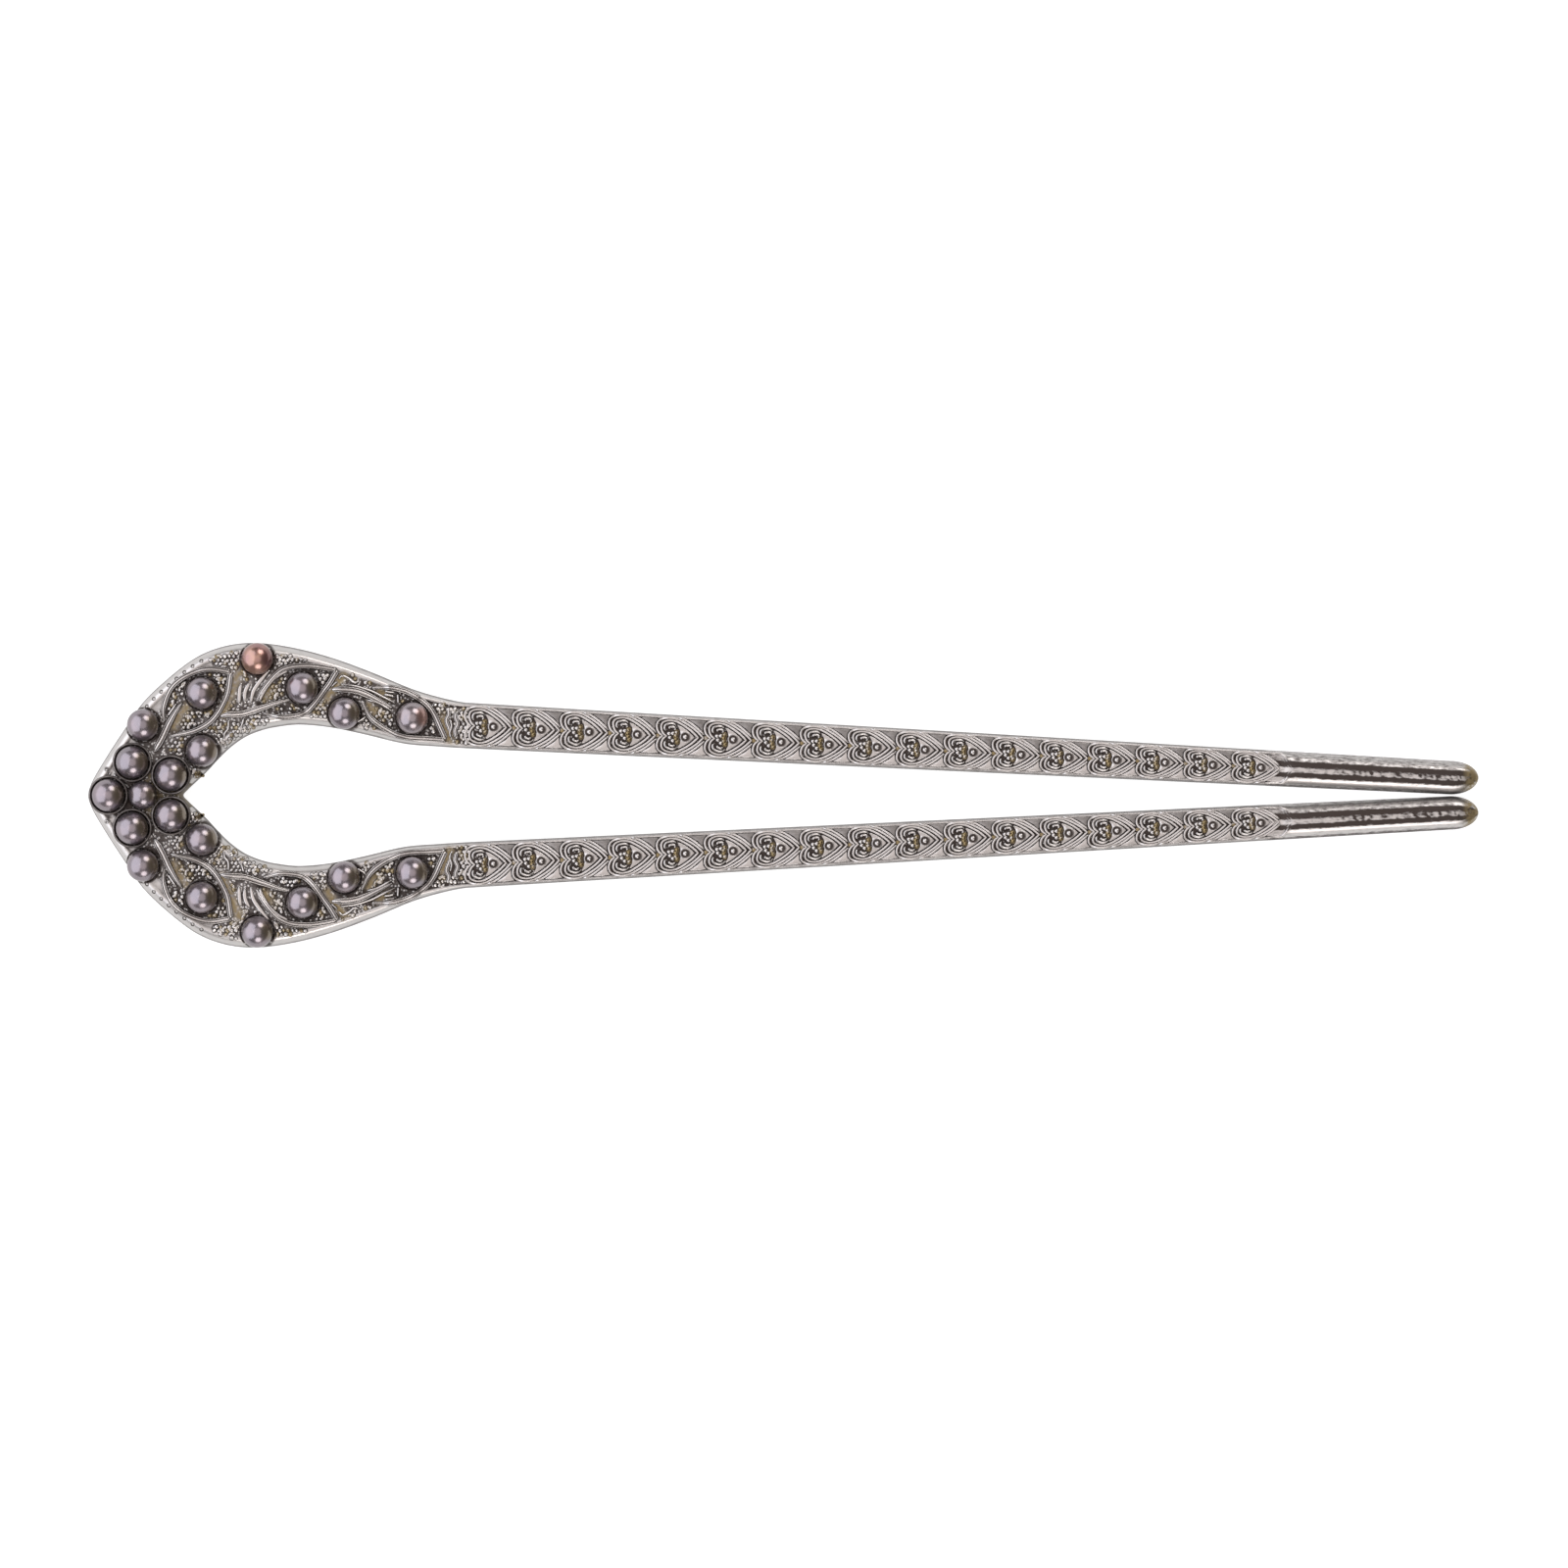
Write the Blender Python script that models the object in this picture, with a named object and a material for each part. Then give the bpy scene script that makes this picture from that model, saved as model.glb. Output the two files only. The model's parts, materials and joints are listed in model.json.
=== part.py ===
"""Hair fork: a one-piece cast fork with two straight prongs and a head set with round pearls.

Sizes are in metres. The fork lies with its flat back on z = 0 and its raised work up. The nose of
the head points to -X and the tips of the prongs to +X. Left is +Y, seen from the head.

The metal is a band. It starts at the nose, runs round the loop on each side and ends in a prong.
A rung is a line straight across the band, from its outer edge to its inner edge. Places on the
head are given by how far along the band they lie (0 at the nose, 1 at the root of the prong) and
how far across it (0 at the inner edge, 1 at the outer edge), so they follow its outline.
"""

import functools
import math
from collections import namedtuple

import bmesh
import bpy
from mathutils import Vector
from mathutils.geometry import delaunay_2d_cdt

# Outline of the fork
FORK_LENGTH = 0.170
HEAD_LENGTH = 0.0460
HEAD_WIDTH = 0.0373
LOOP_WIDTH = 0.0173
PRONG_SPACING = 0.0171
PRONG_WIDTH = 0.0056
TIP_WIDTH = 0.0041
TIP_GAP = 0.0002
TIP_ROUND = 0.0034
NOTCH_WALL = 0.0014

# Section of the band
HEAD_THICKNESS = 0.0030
PRONG_THICKNESS = 0.0028
TIP_THICKNESS = 0.0025
HEAD_SHOULDER = 0.0011
PRONG_SHOULDER = 0.00028
SHOULDER_SHARE = 0.88
TIP_SHOULDER_SHARE = 0.88
TIP_SHOULDER_LEVEL = 0.98
NECK_START = 0.7

# Pearls and their seats
PETAL_PEARL = 0.0040
SIDE_PEARL = 0.0039
SEAT_GAP = 0.0002
CUP_WALL = 0.00022
CUP_SPACING = 0.00014
CUP_HEIGHT = 0.0006
CUP_FOOT_SHARE = 0.3
PETAL_RISE = 0.0007
SIDE_RISE = 0.00045

# Raised work
LEAF_RIDGE = 0.0006
STEM_RIDGE = 0.0009
LEAF_RELIEF = 0.0005
HEART_PITCH = 0.00587
HEART_RIDGE = 0.00036
HEART_RELIEF = 0.00036
BOSS_DIAMETER = 0.00115
BOSS_RELIEF = 0.0005
BOSS_TOP_SHARE = 0.6
RECESS_DEPTH = 0.00035
RECESS_FLOOR_SHARE = 0.7
SMOOTH_TIP = 0.0243

PETALS = 5
PETAL_STEP = 2 * math.pi / PETALS

# How finely it is faceted. A turn is how far a rounded shoulder or end has turned, in degrees.
HEAD_SECTIONS = 28
HEAD_TURNS = (35, 65)
PRONG_TURNS = (50, 90)
TIP_TURNS = (35, 65, 90)
TIP_SECTIONS = (0, 0.15, 0.6)
END_TURNS = (0, 35, 55, 70, 80)
LEAF_STEPS = 12
STEM_STEPS = 8
BOSS_SIDES = 8
CUP_SIDES = 16
PEARL_SIDES = 12
PEARL_RINGS = 8
SEAM_MERGE = 1e-7

Rung = namedtuple("Rung", "outer inner thickness shoulder shoulder_share")
Row = namedtuple("Row", "outer_x outer_y inner_x inner_y")
Place = namedtuple("Place", "along across")
FlankPearl = namedtuple("FlankPearl", "degrees gap")
Pearl = namedtuple("Pearl", "name centre diameter finish")

# The bow of the head, from the nose to its widest place. outer_x is a share of the head's length
# and inner_x of the length from the notch to the prongs. outer_y and inner_y are shares of half
# the head's width and half the loop's width.
BOW = [
    Row(0.000, 0.000, 0.000, 0.000),
    Row(0.006, 0.087, 0.017, 0.085),
    Row(0.048, 0.265, 0.042, 0.180),
    Row(0.097, 0.450, 0.083, 0.335),
    Row(0.142, 0.610, 0.120, 0.495),
    Row(0.205, 0.760, 0.163, 0.665),
    Row(0.283, 0.905, 0.215, 0.815),
    Row(0.361, 0.980, 0.270, 0.910),
    Row(0.445, 1.000, 0.327, 0.965),
]

# The neck, from there to the prong. outer_y and inner_y are shares of what the head or the loop
# stands wider than the edges of the prong at its root.
NECK = [
    Row(0.544, 0.917, 0.410, 1.000),
    Row(0.648, 0.744, 0.517, 0.890),
    Row(0.752, 0.504, 0.635, 0.607),
    Row(0.857, 0.231, 0.781, 0.200),
    Row(0.935, 0.083, 0.899, 0.077),
    Row(1.000, 0.000, 1.000, 0.000),
]

# Each leaf is an outer and an inner ridge that meet at its tip, with a stem that runs into it.
LEAVES_OUTER = [
    [Place(0.280, 0.68), Place(0.310, 0.80), Place(0.365, 0.90), Place(0.430, 0.84), Place(0.490, 0.70)],
    [Place(0.530, 0.32), Place(0.575, 0.50), Place(0.620, 0.70), Place(0.670, 0.80), Place(0.725, 0.85)],
    [Place(0.790, 0.76), Place(0.825, 0.89), Place(0.865, 0.90), Place(0.910, 0.70), Place(0.950, 0.15)],
]
LEAVES_INNER = [
    [Place(0.490, 0.70), Place(0.450, 0.48), Place(0.385, 0.35), Place(0.320, 0.38), Place(0.255, 0.54)],
    [Place(0.725, 0.85), Place(0.705, 0.55), Place(0.665, 0.18), Place(0.610, 0.10), Place(0.540, 0.18)],
    [Place(0.950, 0.15), Place(0.900, 0.14), Place(0.845, 0.13), Place(0.800, 0.27), Place(0.775, 0.52)],
]
STEMS = [
    [Place(0.190, 0.58), Place(0.260, 0.615), Place(0.350, 0.70)],
    [Place(0.400, 0.33), Place(0.470, 0.235), Place(0.550, 0.245), Place(0.630, 0.32)],
    [Place(0.715, 0.55), Place(0.770, 0.635), Place(0.830, 0.565)],
]

# Pearls set in the band.
BAND_PEARLS = {
    "leaf_1": Place(0.398, 0.64),
    "rim": Place(0.566, 0.81),
    "leaf_2": Place(0.657, 0.485),
    "bend": Place(0.746, 0.25),
    "leaf_3": Place(0.868, 0.49),
}

# Pearls that lean on the flower: degrees round its centre, and the gap past its cups.
FLANK_PEARLS = {
    "brow": FlankPearl(90, 0.00000),
    "notch": FlankPearl(37, 0.00040),
}

# The pearls that aren't grey
ODD_PEARLS = {"pearl_rim_left": "rose_pearl", "pearl_leaf_3_left": "two_tone_pearl"}

# One half of a heart's outline, from its cleft to its point: shares of the pitch along the prong,
# and of half the prong's width across it.
HEART_HALF = [
    Place(0.10, 0.00),
    Place(0.03, 0.25),
    Place(0.02, 0.50),
    Place(0.09, 0.71),
    Place(0.23, 0.80),
    Place(0.42, 0.78),
    Place(0.60, 0.64),
    Place(0.79, 0.36),
    Place(0.96, 0.00),
]
BOSS_PLACE = 0.57

# The recess between a heart and the next one, beside the edge of the prong.
RECESS = [Place(0.66, 0.86), Place(1.03, 0.86), Place(0.95, 0.44)]

NOSE_X = -FORK_LENGTH / 2
TIP_X = FORK_LENGTH / 2
ROOT_X = NOSE_X + HEAD_LENGTH
ROUND_X = TIP_X - TIP_ROUND
SMOOTH_X = TIP_X - SMOOTH_TIP
CUP_RADIUS = PETAL_PEARL / 2 + SEAT_GAP + CUP_WALL
FLOWER_RADIUS = (2 * CUP_RADIUS + CUP_SPACING) / (2 * math.sin(PETAL_STEP / 2))
FLOWER_X = NOSE_X + CUP_RADIUS + FLOWER_RADIUS
NOTCH_X = FLOWER_X + FLOWER_RADIUS * math.cos(PETAL_STEP / 2) + NOTCH_WALL
CENTRE_PEARL = 2 * (FLOWER_RADIUS - CUP_RADIUS - SEAT_GAP / 2)


def mix(a, b, share):
    return a + (b - a) * share


def through(points, place):
    """The point at place, counted in points, on a smooth curve through points."""
    k = min(int(place), len(points) - 2)
    t = place - k
    b = points[k]
    c = points[k + 1]
    a = points[k - 1] if k else 2 * b - c
    d = points[k + 2] if k + 2 < len(points) else 2 * c - b
    return 0.5 * (2 * b + (c - a) * t + (2 * a - 5 * b + 4 * c - d) * t**2 + (3 * b - 3 * c + d - a) * t**3)


def prong_rung(x):
    """The rung of the left prong at x. Past ROUND_X the prong's end is rounded."""
    share = min((x - ROOT_X) / (ROUND_X - ROOT_X), 1)
    middle = mix(PRONG_SPACING, TIP_GAP + TIP_WIDTH, share) / 2
    rounding = math.sqrt(max(0, 1 - max(0, (x - ROUND_X) / TIP_ROUND) ** 2))
    half = mix(PRONG_WIDTH, TIP_WIDTH, share) / 2 * rounding
    # The decorated length has narrow shoulders; those of the smooth tip nearly meet in its middle.
    smooth = min(max(0, (x - SMOOTH_X) / (SMOOTH_TIP / 8)), 1)
    widest = half * TIP_SHOULDER_SHARE
    return Rung(
        Vector((x, middle + half)),
        Vector((x, middle - half)),
        mix(PRONG_THICKNESS, TIP_THICKNESS, share) * math.sqrt(rounding),
        mix(min(PRONG_SHOULDER, widest), widest, smooth),
        mix(SHOULDER_SHARE, TIP_SHOULDER_LEVEL, smooth),
    )


def mirrored(point):
    return Vector((point.x, -point.y))


@functools.cache
def head_edges():
    """(outer points, inner points) of the left half of the head, one pair for each row, with one
    more before the nose and one after the root, so that the edges run smoothly through both."""
    root = prong_rung(ROOT_X)
    beyond = prong_rung(ROOT_X + HEAD_LENGTH / 16)
    outer = []
    inner = []
    for row in BOW:
        outer.append(Vector((mix(NOSE_X, ROOT_X, row.outer_x), HEAD_WIDTH / 2 * row.outer_y)))
        inner.append(Vector((mix(NOTCH_X, ROOT_X, row.inner_x), LOOP_WIDTH / 2 * row.inner_y)))
    for row in NECK:
        outer_y = mix(root.outer.y, HEAD_WIDTH / 2, row.outer_y)
        inner_y = mix(root.inner.y, LOOP_WIDTH / 2, row.inner_y)
        outer.append(Vector((mix(NOSE_X, ROOT_X, row.outer_x), outer_y)))
        inner.append(Vector((mix(NOTCH_X, ROOT_X, row.inner_x), inner_y)))
    return (
        [mirrored(outer[1]), *outer, beyond.outer],
        [mirrored(inner[1]), *inner, beyond.inner],
    )


def head_rung(along):
    """The rung of the left half of the head at along."""
    outer, inner = head_edges()
    place = 1 + along * (len(outer) - 3)
    neck = min(max(0, (along - NECK_START) / (1 - NECK_START)), 1)
    return Rung(
        through(outer, place),
        through(inner, place),
        mix(HEAD_THICKNESS, PRONG_THICKNESS, neck),
        mix(HEAD_SHOULDER, PRONG_SHOULDER, neck),
        SHOULDER_SHARE,
    )


def rung_through(point):
    """The rung that passes through a point of the left half of the band."""
    if point.x >= ROOT_X:
        return prong_rung(point.x)
    low, high = 0, 1
    for _ in range(24):
        middle = (low + high) / 2
        rung = head_rung(middle)
        if (rung.outer - rung.inner).cross(point.to_2d() - rung.inner) < 0:
            low = middle
        else:
            high = middle
    return head_rung(low)


def on_face(rung, across):
    """The point of the band's upper face at across, from 0 at the inner edge to 1 at the outer."""
    width = (rung.outer - rung.inner).length
    from_edge = min(across, 1 - across) * width
    level = rung.thickness * rung.shoulder_share
    if from_edge < rung.shoulder:
        height = level * math.sqrt(max(0, 1 - (1 - from_edge / rung.shoulder) ** 2))
    else:
        to_middle = 1 - (from_edge - rung.shoulder) / (width / 2 - rung.shoulder)
        height = mix(rung.thickness, level, to_middle**2)
    return mix(rung.inner, rung.outer, across).to_3d() + Vector((0, 0, height))


def face_height(point):
    """The height of the plain upper face over a point of the left half."""
    rung = rung_through(point)
    width = (rung.outer - rung.inner).length
    across = (point.to_2d() - rung.inner).length / max(width, 1e-9)
    return on_face(rung, min(max(across, 0), 1)).z


def shoulder_share(rung, degrees):
    """How far across the band its rounded shoulder has turned through degrees from the upright."""
    turned = 1 - math.cos(math.radians(degrees))
    return rung.shoulder * turned / (rung.outer - rung.inner).length


class Ridge:
    """A raised line with a sharp crest, along points of the face."""

    def __init__(self, points, width, relief, closed=False):
        self.points = [point.to_2d() for point in points]
        self.half = width / 2
        self.relief = relief
        self.closed = closed
        self.low = Vector(min(p[k] for p in self.points) - self.half for k in (0, 1))
        self.high = Vector(max(p[k] for p in self.points) + self.half for k in (0, 1))

    def lines(self):
        """Its crest and its two feet, drawn flat. An open ridge ends in a point."""
        count = len(self.points)
        left = []
        right = []
        for k, point in enumerate(self.points):
            before = self.points[k - 1] if k or self.closed else point
            after = self.points[(k + 1) % count] if k + 1 < count or self.closed else point
            run = (after - before).normalized()
            side = Vector((-run.y, run.x)) * self.half
            left.append(point + side)
            right.append(point - side)
        return [(self.points, self.closed), (left, self.closed), (right, self.closed)]

    def lift(self, point):
        if not (self.low.x < point.x < self.high.x and self.low.y < point.y < self.high.y):
            return 0
        ends = list(zip(self.points, self.points[1:]))
        if self.closed:
            ends.append((self.points[-1], self.points[0]))
        nearest = self.half
        for start, end in ends:
            run = end - start
            share = min(max((point - start).dot(run) / run.length_squared, 0), 1)
            nearest = min(nearest, (point - start - run * share).length)
        return self.relief * (1 - nearest / self.half)


class Boss:
    """A low round boss with a flat top."""

    def __init__(self, centre):
        self.centre = centre.to_2d()
        self.radius = BOSS_DIAMETER / 2
        self.top = self.radius * BOSS_TOP_SHARE
        self.relief = BOSS_RELIEF

    def lines(self):
        """The rings round its foot and its top, drawn flat."""
        rings = []
        for radius in (self.radius, self.top):
            ring = []
            for k in range(BOSS_SIDES):
                angle = 2 * math.pi * k / BOSS_SIDES
                ring.append(self.centre + radius * Vector((math.cos(angle), math.sin(angle))))
            rings.append((ring, True))
        return rings

    def lift(self, point):
        reach = (self.radius - (point - self.centre).length) / (self.radius - self.top)
        return self.relief * min(max(reach, 0), 1)


class Recess:
    """A sunken triangle with a flat floor."""

    def __init__(self, corners):
        self.corners = [corner.to_2d() for corner in corners]

    def lines(self):
        """The outlines of its mouth and its floor, drawn flat."""
        middle = sum(self.corners, Vector((0, 0))) / 3
        floor = [mix(middle, corner, RECESS_FLOOR_SHARE) for corner in self.corners]
        return [(self.corners, True), (floor, True)]

    def lift(self, point):
        a, b, c = self.corners
        whole = (b - a).cross(c - a)
        nearest = min((end - start).cross(point - start) / whole for start, end in ((a, b), (b, c), (c, a)))
        return -RECESS_DEPTH * min(max(3 * nearest / (1 - RECESS_FLOOR_SHARE), 0), 1)


class Plan:
    """The left half of the upper face drawn flat: its points, and the lines that its facets keep."""

    def __init__(self):
        self.points = []
        self.lines = []

    def add(self, points, closed=False):
        """Adds a line through points, and returns the numbers of its points."""
        first = len(self.points)
        self.points.extend(point.to_2d() for point in points)
        numbers = list(range(first, len(self.points)))
        self.lines.extend(zip(numbers, numbers[1:]))
        if closed:
            self.lines.append((numbers[-1], numbers[0]))
        return numbers

    def add_loose(self, points):
        self.points.extend(point.to_2d() for point in points)

    def facets(self):
        """(points, triangles, for each point the numbers that it had here)."""
        scaled = [point * 1000 for point in self.points]
        points, _, triangles, origins, _, _ = delaunay_2d_cdt(scaled, self.lines, [], 1, 1e-6)
        return [point / 1000 for point in points], triangles, origins


def steps(points, count):
    """As many points as count, evenly spaced on a smooth curve through points."""
    return [through(points, k * (len(points) - 1) / (count - 1)) for k in range(count)]


def head_work():
    """The leaves and stems of the left half of the head."""
    made = []
    for curves, width, count in (
        (LEAVES_OUTER, LEAF_RIDGE, LEAF_STEPS),
        (LEAVES_INNER, LEAF_RIDGE, LEAF_STEPS),
        (STEMS, STEM_RIDGE, STEM_STEPS),
    ):
        for curve in curves:
            places = [Place(*place) for place in steps([Vector(place) for place in curve], count)]
            points = [on_face(head_rung(place.along), place.across) for place in places]
            made.append(Ridge(points, width, LEAF_RELIEF))
    return made


def heart_starts():
    """(where each heart of a prong starts, the length that each one has)."""
    span = SMOOTH_X - ROOT_X
    count = max(1, round(span / HEART_PITCH))
    return [ROOT_X + number * span / count for number in range(count)], span / count


def hearts():
    """The row of hearts on the left prong, each with a round boss near its point, and the recesses
    between them."""
    made = []
    other_half = [Place(place.along, -place.across) for place in HEART_HALF[-2:0:-1]]
    starts, pitch = heart_starts()

    def on_prong(place, side=1):
        return on_face(prong_rung(start + place.along * pitch), 0.5 + side * place.across / 2)

    for start in starts:
        outline = [on_prong(place) for place in HEART_HALF + other_half]
        made.append(Ridge(outline, HEART_RIDGE, HEART_RELIEF, closed=True))
        made.append(Boss(on_prong(Place(BOSS_PLACE, 0))))
        if start != starts[-1]:
            made.extend(Recess([on_prong(place, side) for place in RECESS]) for side in (1, -1))
    return made


def stations():
    """The rungs that the facets follow, along the head, the decorated prong and its smooth tip."""
    head = [head_rung(k / HEAD_SECTIONS) for k in range(HEAD_SECTIONS + 1)]
    starts, _ = heart_starts()
    prong = [prong_rung(start) for start in starts[1:]]
    tip = [prong_rung(mix(SMOOTH_X, ROUND_X, share)) for share in TIP_SECTIONS]
    tip += [prong_rung(ROUND_X + TIP_ROUND * math.sin(math.radians(turn))) for turn in END_TURNS]
    return head, prong, tip


def draw_band(plan):
    """Draws the plain band, and returns the numbers of its points that lie on the back."""
    head, prong, tip = stations()
    rungs = head + prong + tip
    apex = (tip[-1].outer + tip[-1].inner) / 2
    apex.x = TIP_X
    edge = [rung.outer for rung in rungs] + [apex] + [rung.inner for rung in reversed(rungs)]
    turned = [shoulder_share(head[0], turn) for turn in (*HEAD_TURNS, 90)]
    shares = [*turned, 0.5, *(1 - share for share in reversed(turned))]
    seam = [on_face(head[0], share) for share in shares]
    back = plan.add(edge + seam, closed=True)[: len(edge)]
    decorated = [head[-1], *prong, tip[0]]
    for group, turns in ((head[1:], HEAD_TURNS), (decorated, PRONG_TURNS), (tip, TIP_TURNS)):
        for turn in turns:
            plan.add([on_face(rung, shoulder_share(rung, turn)) for rung in group])
            plan.add([on_face(rung, 1 - shoulder_share(rung, turn)) for rung in group])
    for rung in head[1:]:
        rim = shoulder_share(rung, 90)
        plan.add_loose([on_face(rung, share) for share in (rim, 0.5, 1 - rim)])
    plan.add([on_face(rung, 0.5) for rung in tip])
    return back


def half_band():
    """The left half of the casting, open where it meets the right half, with its work raised."""
    plan = Plan()
    back = draw_band(plan)
    work = head_work() + hearts()
    for item in work:
        for line, closed in item.lines():
            plan.add(line, closed)
    mesh = bmesh.new()
    points, triangles, origins = plan.facets()
    verts = []
    made_from = {}
    for point, origin in zip(points, origins):
        height = 0
        if not set(origin) & set(back):
            lifts = [item.lift(point) for item in work]
            height = face_height(point) + max(lifts) + min(lifts)
        verts.append(mesh.verts.new((point.x, point.y, height)))
        for number in origin:
            made_from[number] = verts[-1]
    for triangle in triangles:
        mesh.faces.new([verts[k] for k in triangle])
    mesh.faces.new([made_from[number] for number in back])
    return mesh


def band():
    """The whole casting: the left half, its mirror image, and the seam at the nose closed."""
    mesh = half_band()
    copy = bmesh.ops.duplicate(mesh, geom=mesh.verts[:] + mesh.edges[:] + mesh.faces[:])["geom"]
    for vert in copy:
        if isinstance(vert, bmesh.types.BMVert):
            vert.co.y = -vert.co.y
    bmesh.ops.remove_doubles(mesh, verts=mesh.verts, dist=SEAM_MERGE)
    return mesh


def petal_places():
    """The centres of the flower's five cups, the first at the nose."""
    places = []
    for k in range(PETALS):
        angle = math.pi + k * PETAL_STEP
        places.append(Vector((FLOWER_X + FLOWER_RADIUS * math.cos(angle), FLOWER_RADIUS * math.sin(angle))))
    return places


def cups():
    """The raised blocks of the flower's cups, which the seats then hollow."""
    mesh = bmesh.new()
    foot = HEAD_THICKNESS * CUP_FOOT_SHARE
    height = HEAD_THICKNESS + CUP_HEIGHT - foot
    for place in petal_places():
        made = bmesh.ops.create_cone(
            mesh, cap_ends=True, segments=CUP_SIDES, radius1=CUP_RADIUS, radius2=CUP_RADIUS, depth=height
        )["verts"]
        bmesh.ops.translate(mesh, verts=made, vec=place.to_3d() + Vector((0, 0, foot + height / 2)))
    return mesh


def pearls():
    """Every pearl, with the centre that its seat shares."""
    petal_z = HEAD_THICKNESS + PETAL_RISE
    found = [Pearl("pearl_centre", Vector((FLOWER_X, 0, petal_z)), CENTRE_PEARL, "grey_pearl")]
    for number, place in enumerate(petal_places()):
        centre = Vector((place.x, place.y, petal_z))
        found.append(Pearl(f"pearl_petal_{number + 1}", centre, PETAL_PEARL, "grey_pearl"))
    centres = {}
    for name, flank in FLANK_PEARLS.items():
        reach = FLOWER_RADIUS + CUP_RADIUS + SIDE_PEARL / 2 + flank.gap
        angle = math.radians(flank.degrees)
        side = Vector((FLOWER_X + reach * math.cos(angle), reach * math.sin(angle), HEAD_THICKNESS))
        centres[name] = side + Vector((0, 0, SIDE_RISE))
    for name, place in BAND_PEARLS.items():
        centres[name] = on_face(head_rung(place.along), place.across) + Vector((0, 0, SIDE_RISE))
    for name, centre in centres.items():
        for side, sign in (("left", 1), ("right", -1)):
            full_name = f"pearl_{name}_{side}"
            placed = Vector((centre.x, sign * centre.y, centre.z))
            found.append(Pearl(full_name, placed, SIDE_PEARL, ODD_PEARLS.get(full_name, "grey_pearl")))
    return found


def add_ball(mesh, centre, radius):
    made = bmesh.ops.create_uvsphere(mesh, u_segments=PEARL_SIDES, v_segments=PEARL_RINGS, radius=radius)
    bmesh.ops.translate(mesh, verts=made["verts"], vec=centre)


def seats():
    """Round hollows, one for each pearl, wider than it by the seat's gap."""
    mesh = bmesh.new()
    for pearl in pearls():
        add_ball(mesh, pearl.centre, pearl.diameter / 2 + SEAT_GAP)
    return mesh


def new_object(name, mesh, material=None):
    bmesh.ops.triangulate(mesh, faces=mesh.faces)
    mesh.normal_update()
    bmesh.ops.recalc_face_normals(mesh, faces=mesh.faces)
    data = bpy.data.meshes.new(name)
    mesh.to_mesh(data)
    mesh.free()
    made = bpy.data.objects.new(name, data)
    bpy.context.scene.collection.objects.link(made)
    if material:
        data.materials.append(material)
    return made


def new_material(name, colour, metallic, roughness):
    material = bpy.data.materials.new(name)
    material.use_nodes = True
    shader = material.node_tree.nodes["Principled BSDF"]
    shader.inputs["Base Color"].default_value = (*colour, 1)
    shader.inputs["Metallic"].default_value = metallic
    shader.inputs["Roughness"].default_value = roughness
    return material


def clear_scene():
    for old in list(bpy.data.objects):
        bpy.data.objects.remove(old)


def build():
    clear_scene()
    silver = new_material("antique_silver", (0.50, 0.47, 0.45), 1.0, 0.32)
    finishes = {
        "grey_pearl": new_material("grey_pearl", (0.17, 0.15, 0.16), 0.35, 0.22),
        "rose_pearl": new_material("rose_pearl", (0.52, 0.25, 0.20), 0.35, 0.22),
        "two_tone_pearl": new_material("two_tone_pearl", (0.30, 0.22, 0.22), 0.35, 0.22),
    }
    fork = new_object("fork", band(), silver)
    for name, mesh, operation in (("cups", cups(), "UNION"), ("seats", seats(), "DIFFERENCE")):
        guide = new_object(f"guide_{name}", mesh)
        guide.hide_render = True
        guide.display_type = "WIRE"
        step = fork.modifiers.new(name, "BOOLEAN")
        step.object = guide
        step.operation = operation
    for pearl in pearls():
        mesh = bmesh.new()
        add_ball(mesh, Vector((0, 0, 0)), pearl.diameter / 2)
        made = new_object(pearl.name, mesh, finishes[pearl.finish])
        made.location = pearl.centre
        made.data.shade_smooth()


build()
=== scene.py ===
"""Hair fork of antique silver set with dark pearls: the finished surface of every piece.

Lengths are in metres and the frame is that of the solids: the back lies on z = 0, the nose of the
head points to -X, the tips of the prongs to +X and left is +Y. The sections follow the work as it is
put together: the casting, the flower's cups, the raised lines, the pearl seats, the hearts, the
granules, the pearls, and last the table, the lights and the camera.

A place on the band is a pair (along, across): how far along the band it lies (0 at the nose, 1 at the
root of the prong, and 1 more for each head's length after that) and how far across it (0 at the inner
edge, 1 at the outer edge).
"""

import json
import math
import random
from collections import namedtuple

import bmesh
import bpy
import numpy as np
from mathutils.bvhtree import BVHTree
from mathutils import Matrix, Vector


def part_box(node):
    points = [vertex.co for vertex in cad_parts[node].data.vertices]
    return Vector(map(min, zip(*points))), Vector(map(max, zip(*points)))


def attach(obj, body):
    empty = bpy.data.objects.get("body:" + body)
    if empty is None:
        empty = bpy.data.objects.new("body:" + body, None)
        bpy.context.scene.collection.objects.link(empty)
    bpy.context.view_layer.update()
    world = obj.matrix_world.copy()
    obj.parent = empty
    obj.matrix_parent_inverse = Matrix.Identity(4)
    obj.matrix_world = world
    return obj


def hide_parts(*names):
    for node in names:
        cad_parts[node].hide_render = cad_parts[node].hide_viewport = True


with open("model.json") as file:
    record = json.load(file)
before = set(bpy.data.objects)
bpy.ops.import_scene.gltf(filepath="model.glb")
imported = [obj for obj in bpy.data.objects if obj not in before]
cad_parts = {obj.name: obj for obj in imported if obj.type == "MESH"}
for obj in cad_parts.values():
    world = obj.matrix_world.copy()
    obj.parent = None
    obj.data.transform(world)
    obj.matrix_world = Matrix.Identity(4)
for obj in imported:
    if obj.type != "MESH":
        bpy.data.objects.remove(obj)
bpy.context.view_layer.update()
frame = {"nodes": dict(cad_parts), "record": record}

# The casting
# One piece of cast zinc alloy, silver plated and darkened with a patina that was rubbed off again
# wherever the metal stands up. A flat-backed band runs round the loop of the head and ends in two
# prongs. Its edges are rounded and smooth, and between them the ground of the work lies sunken.

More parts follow.
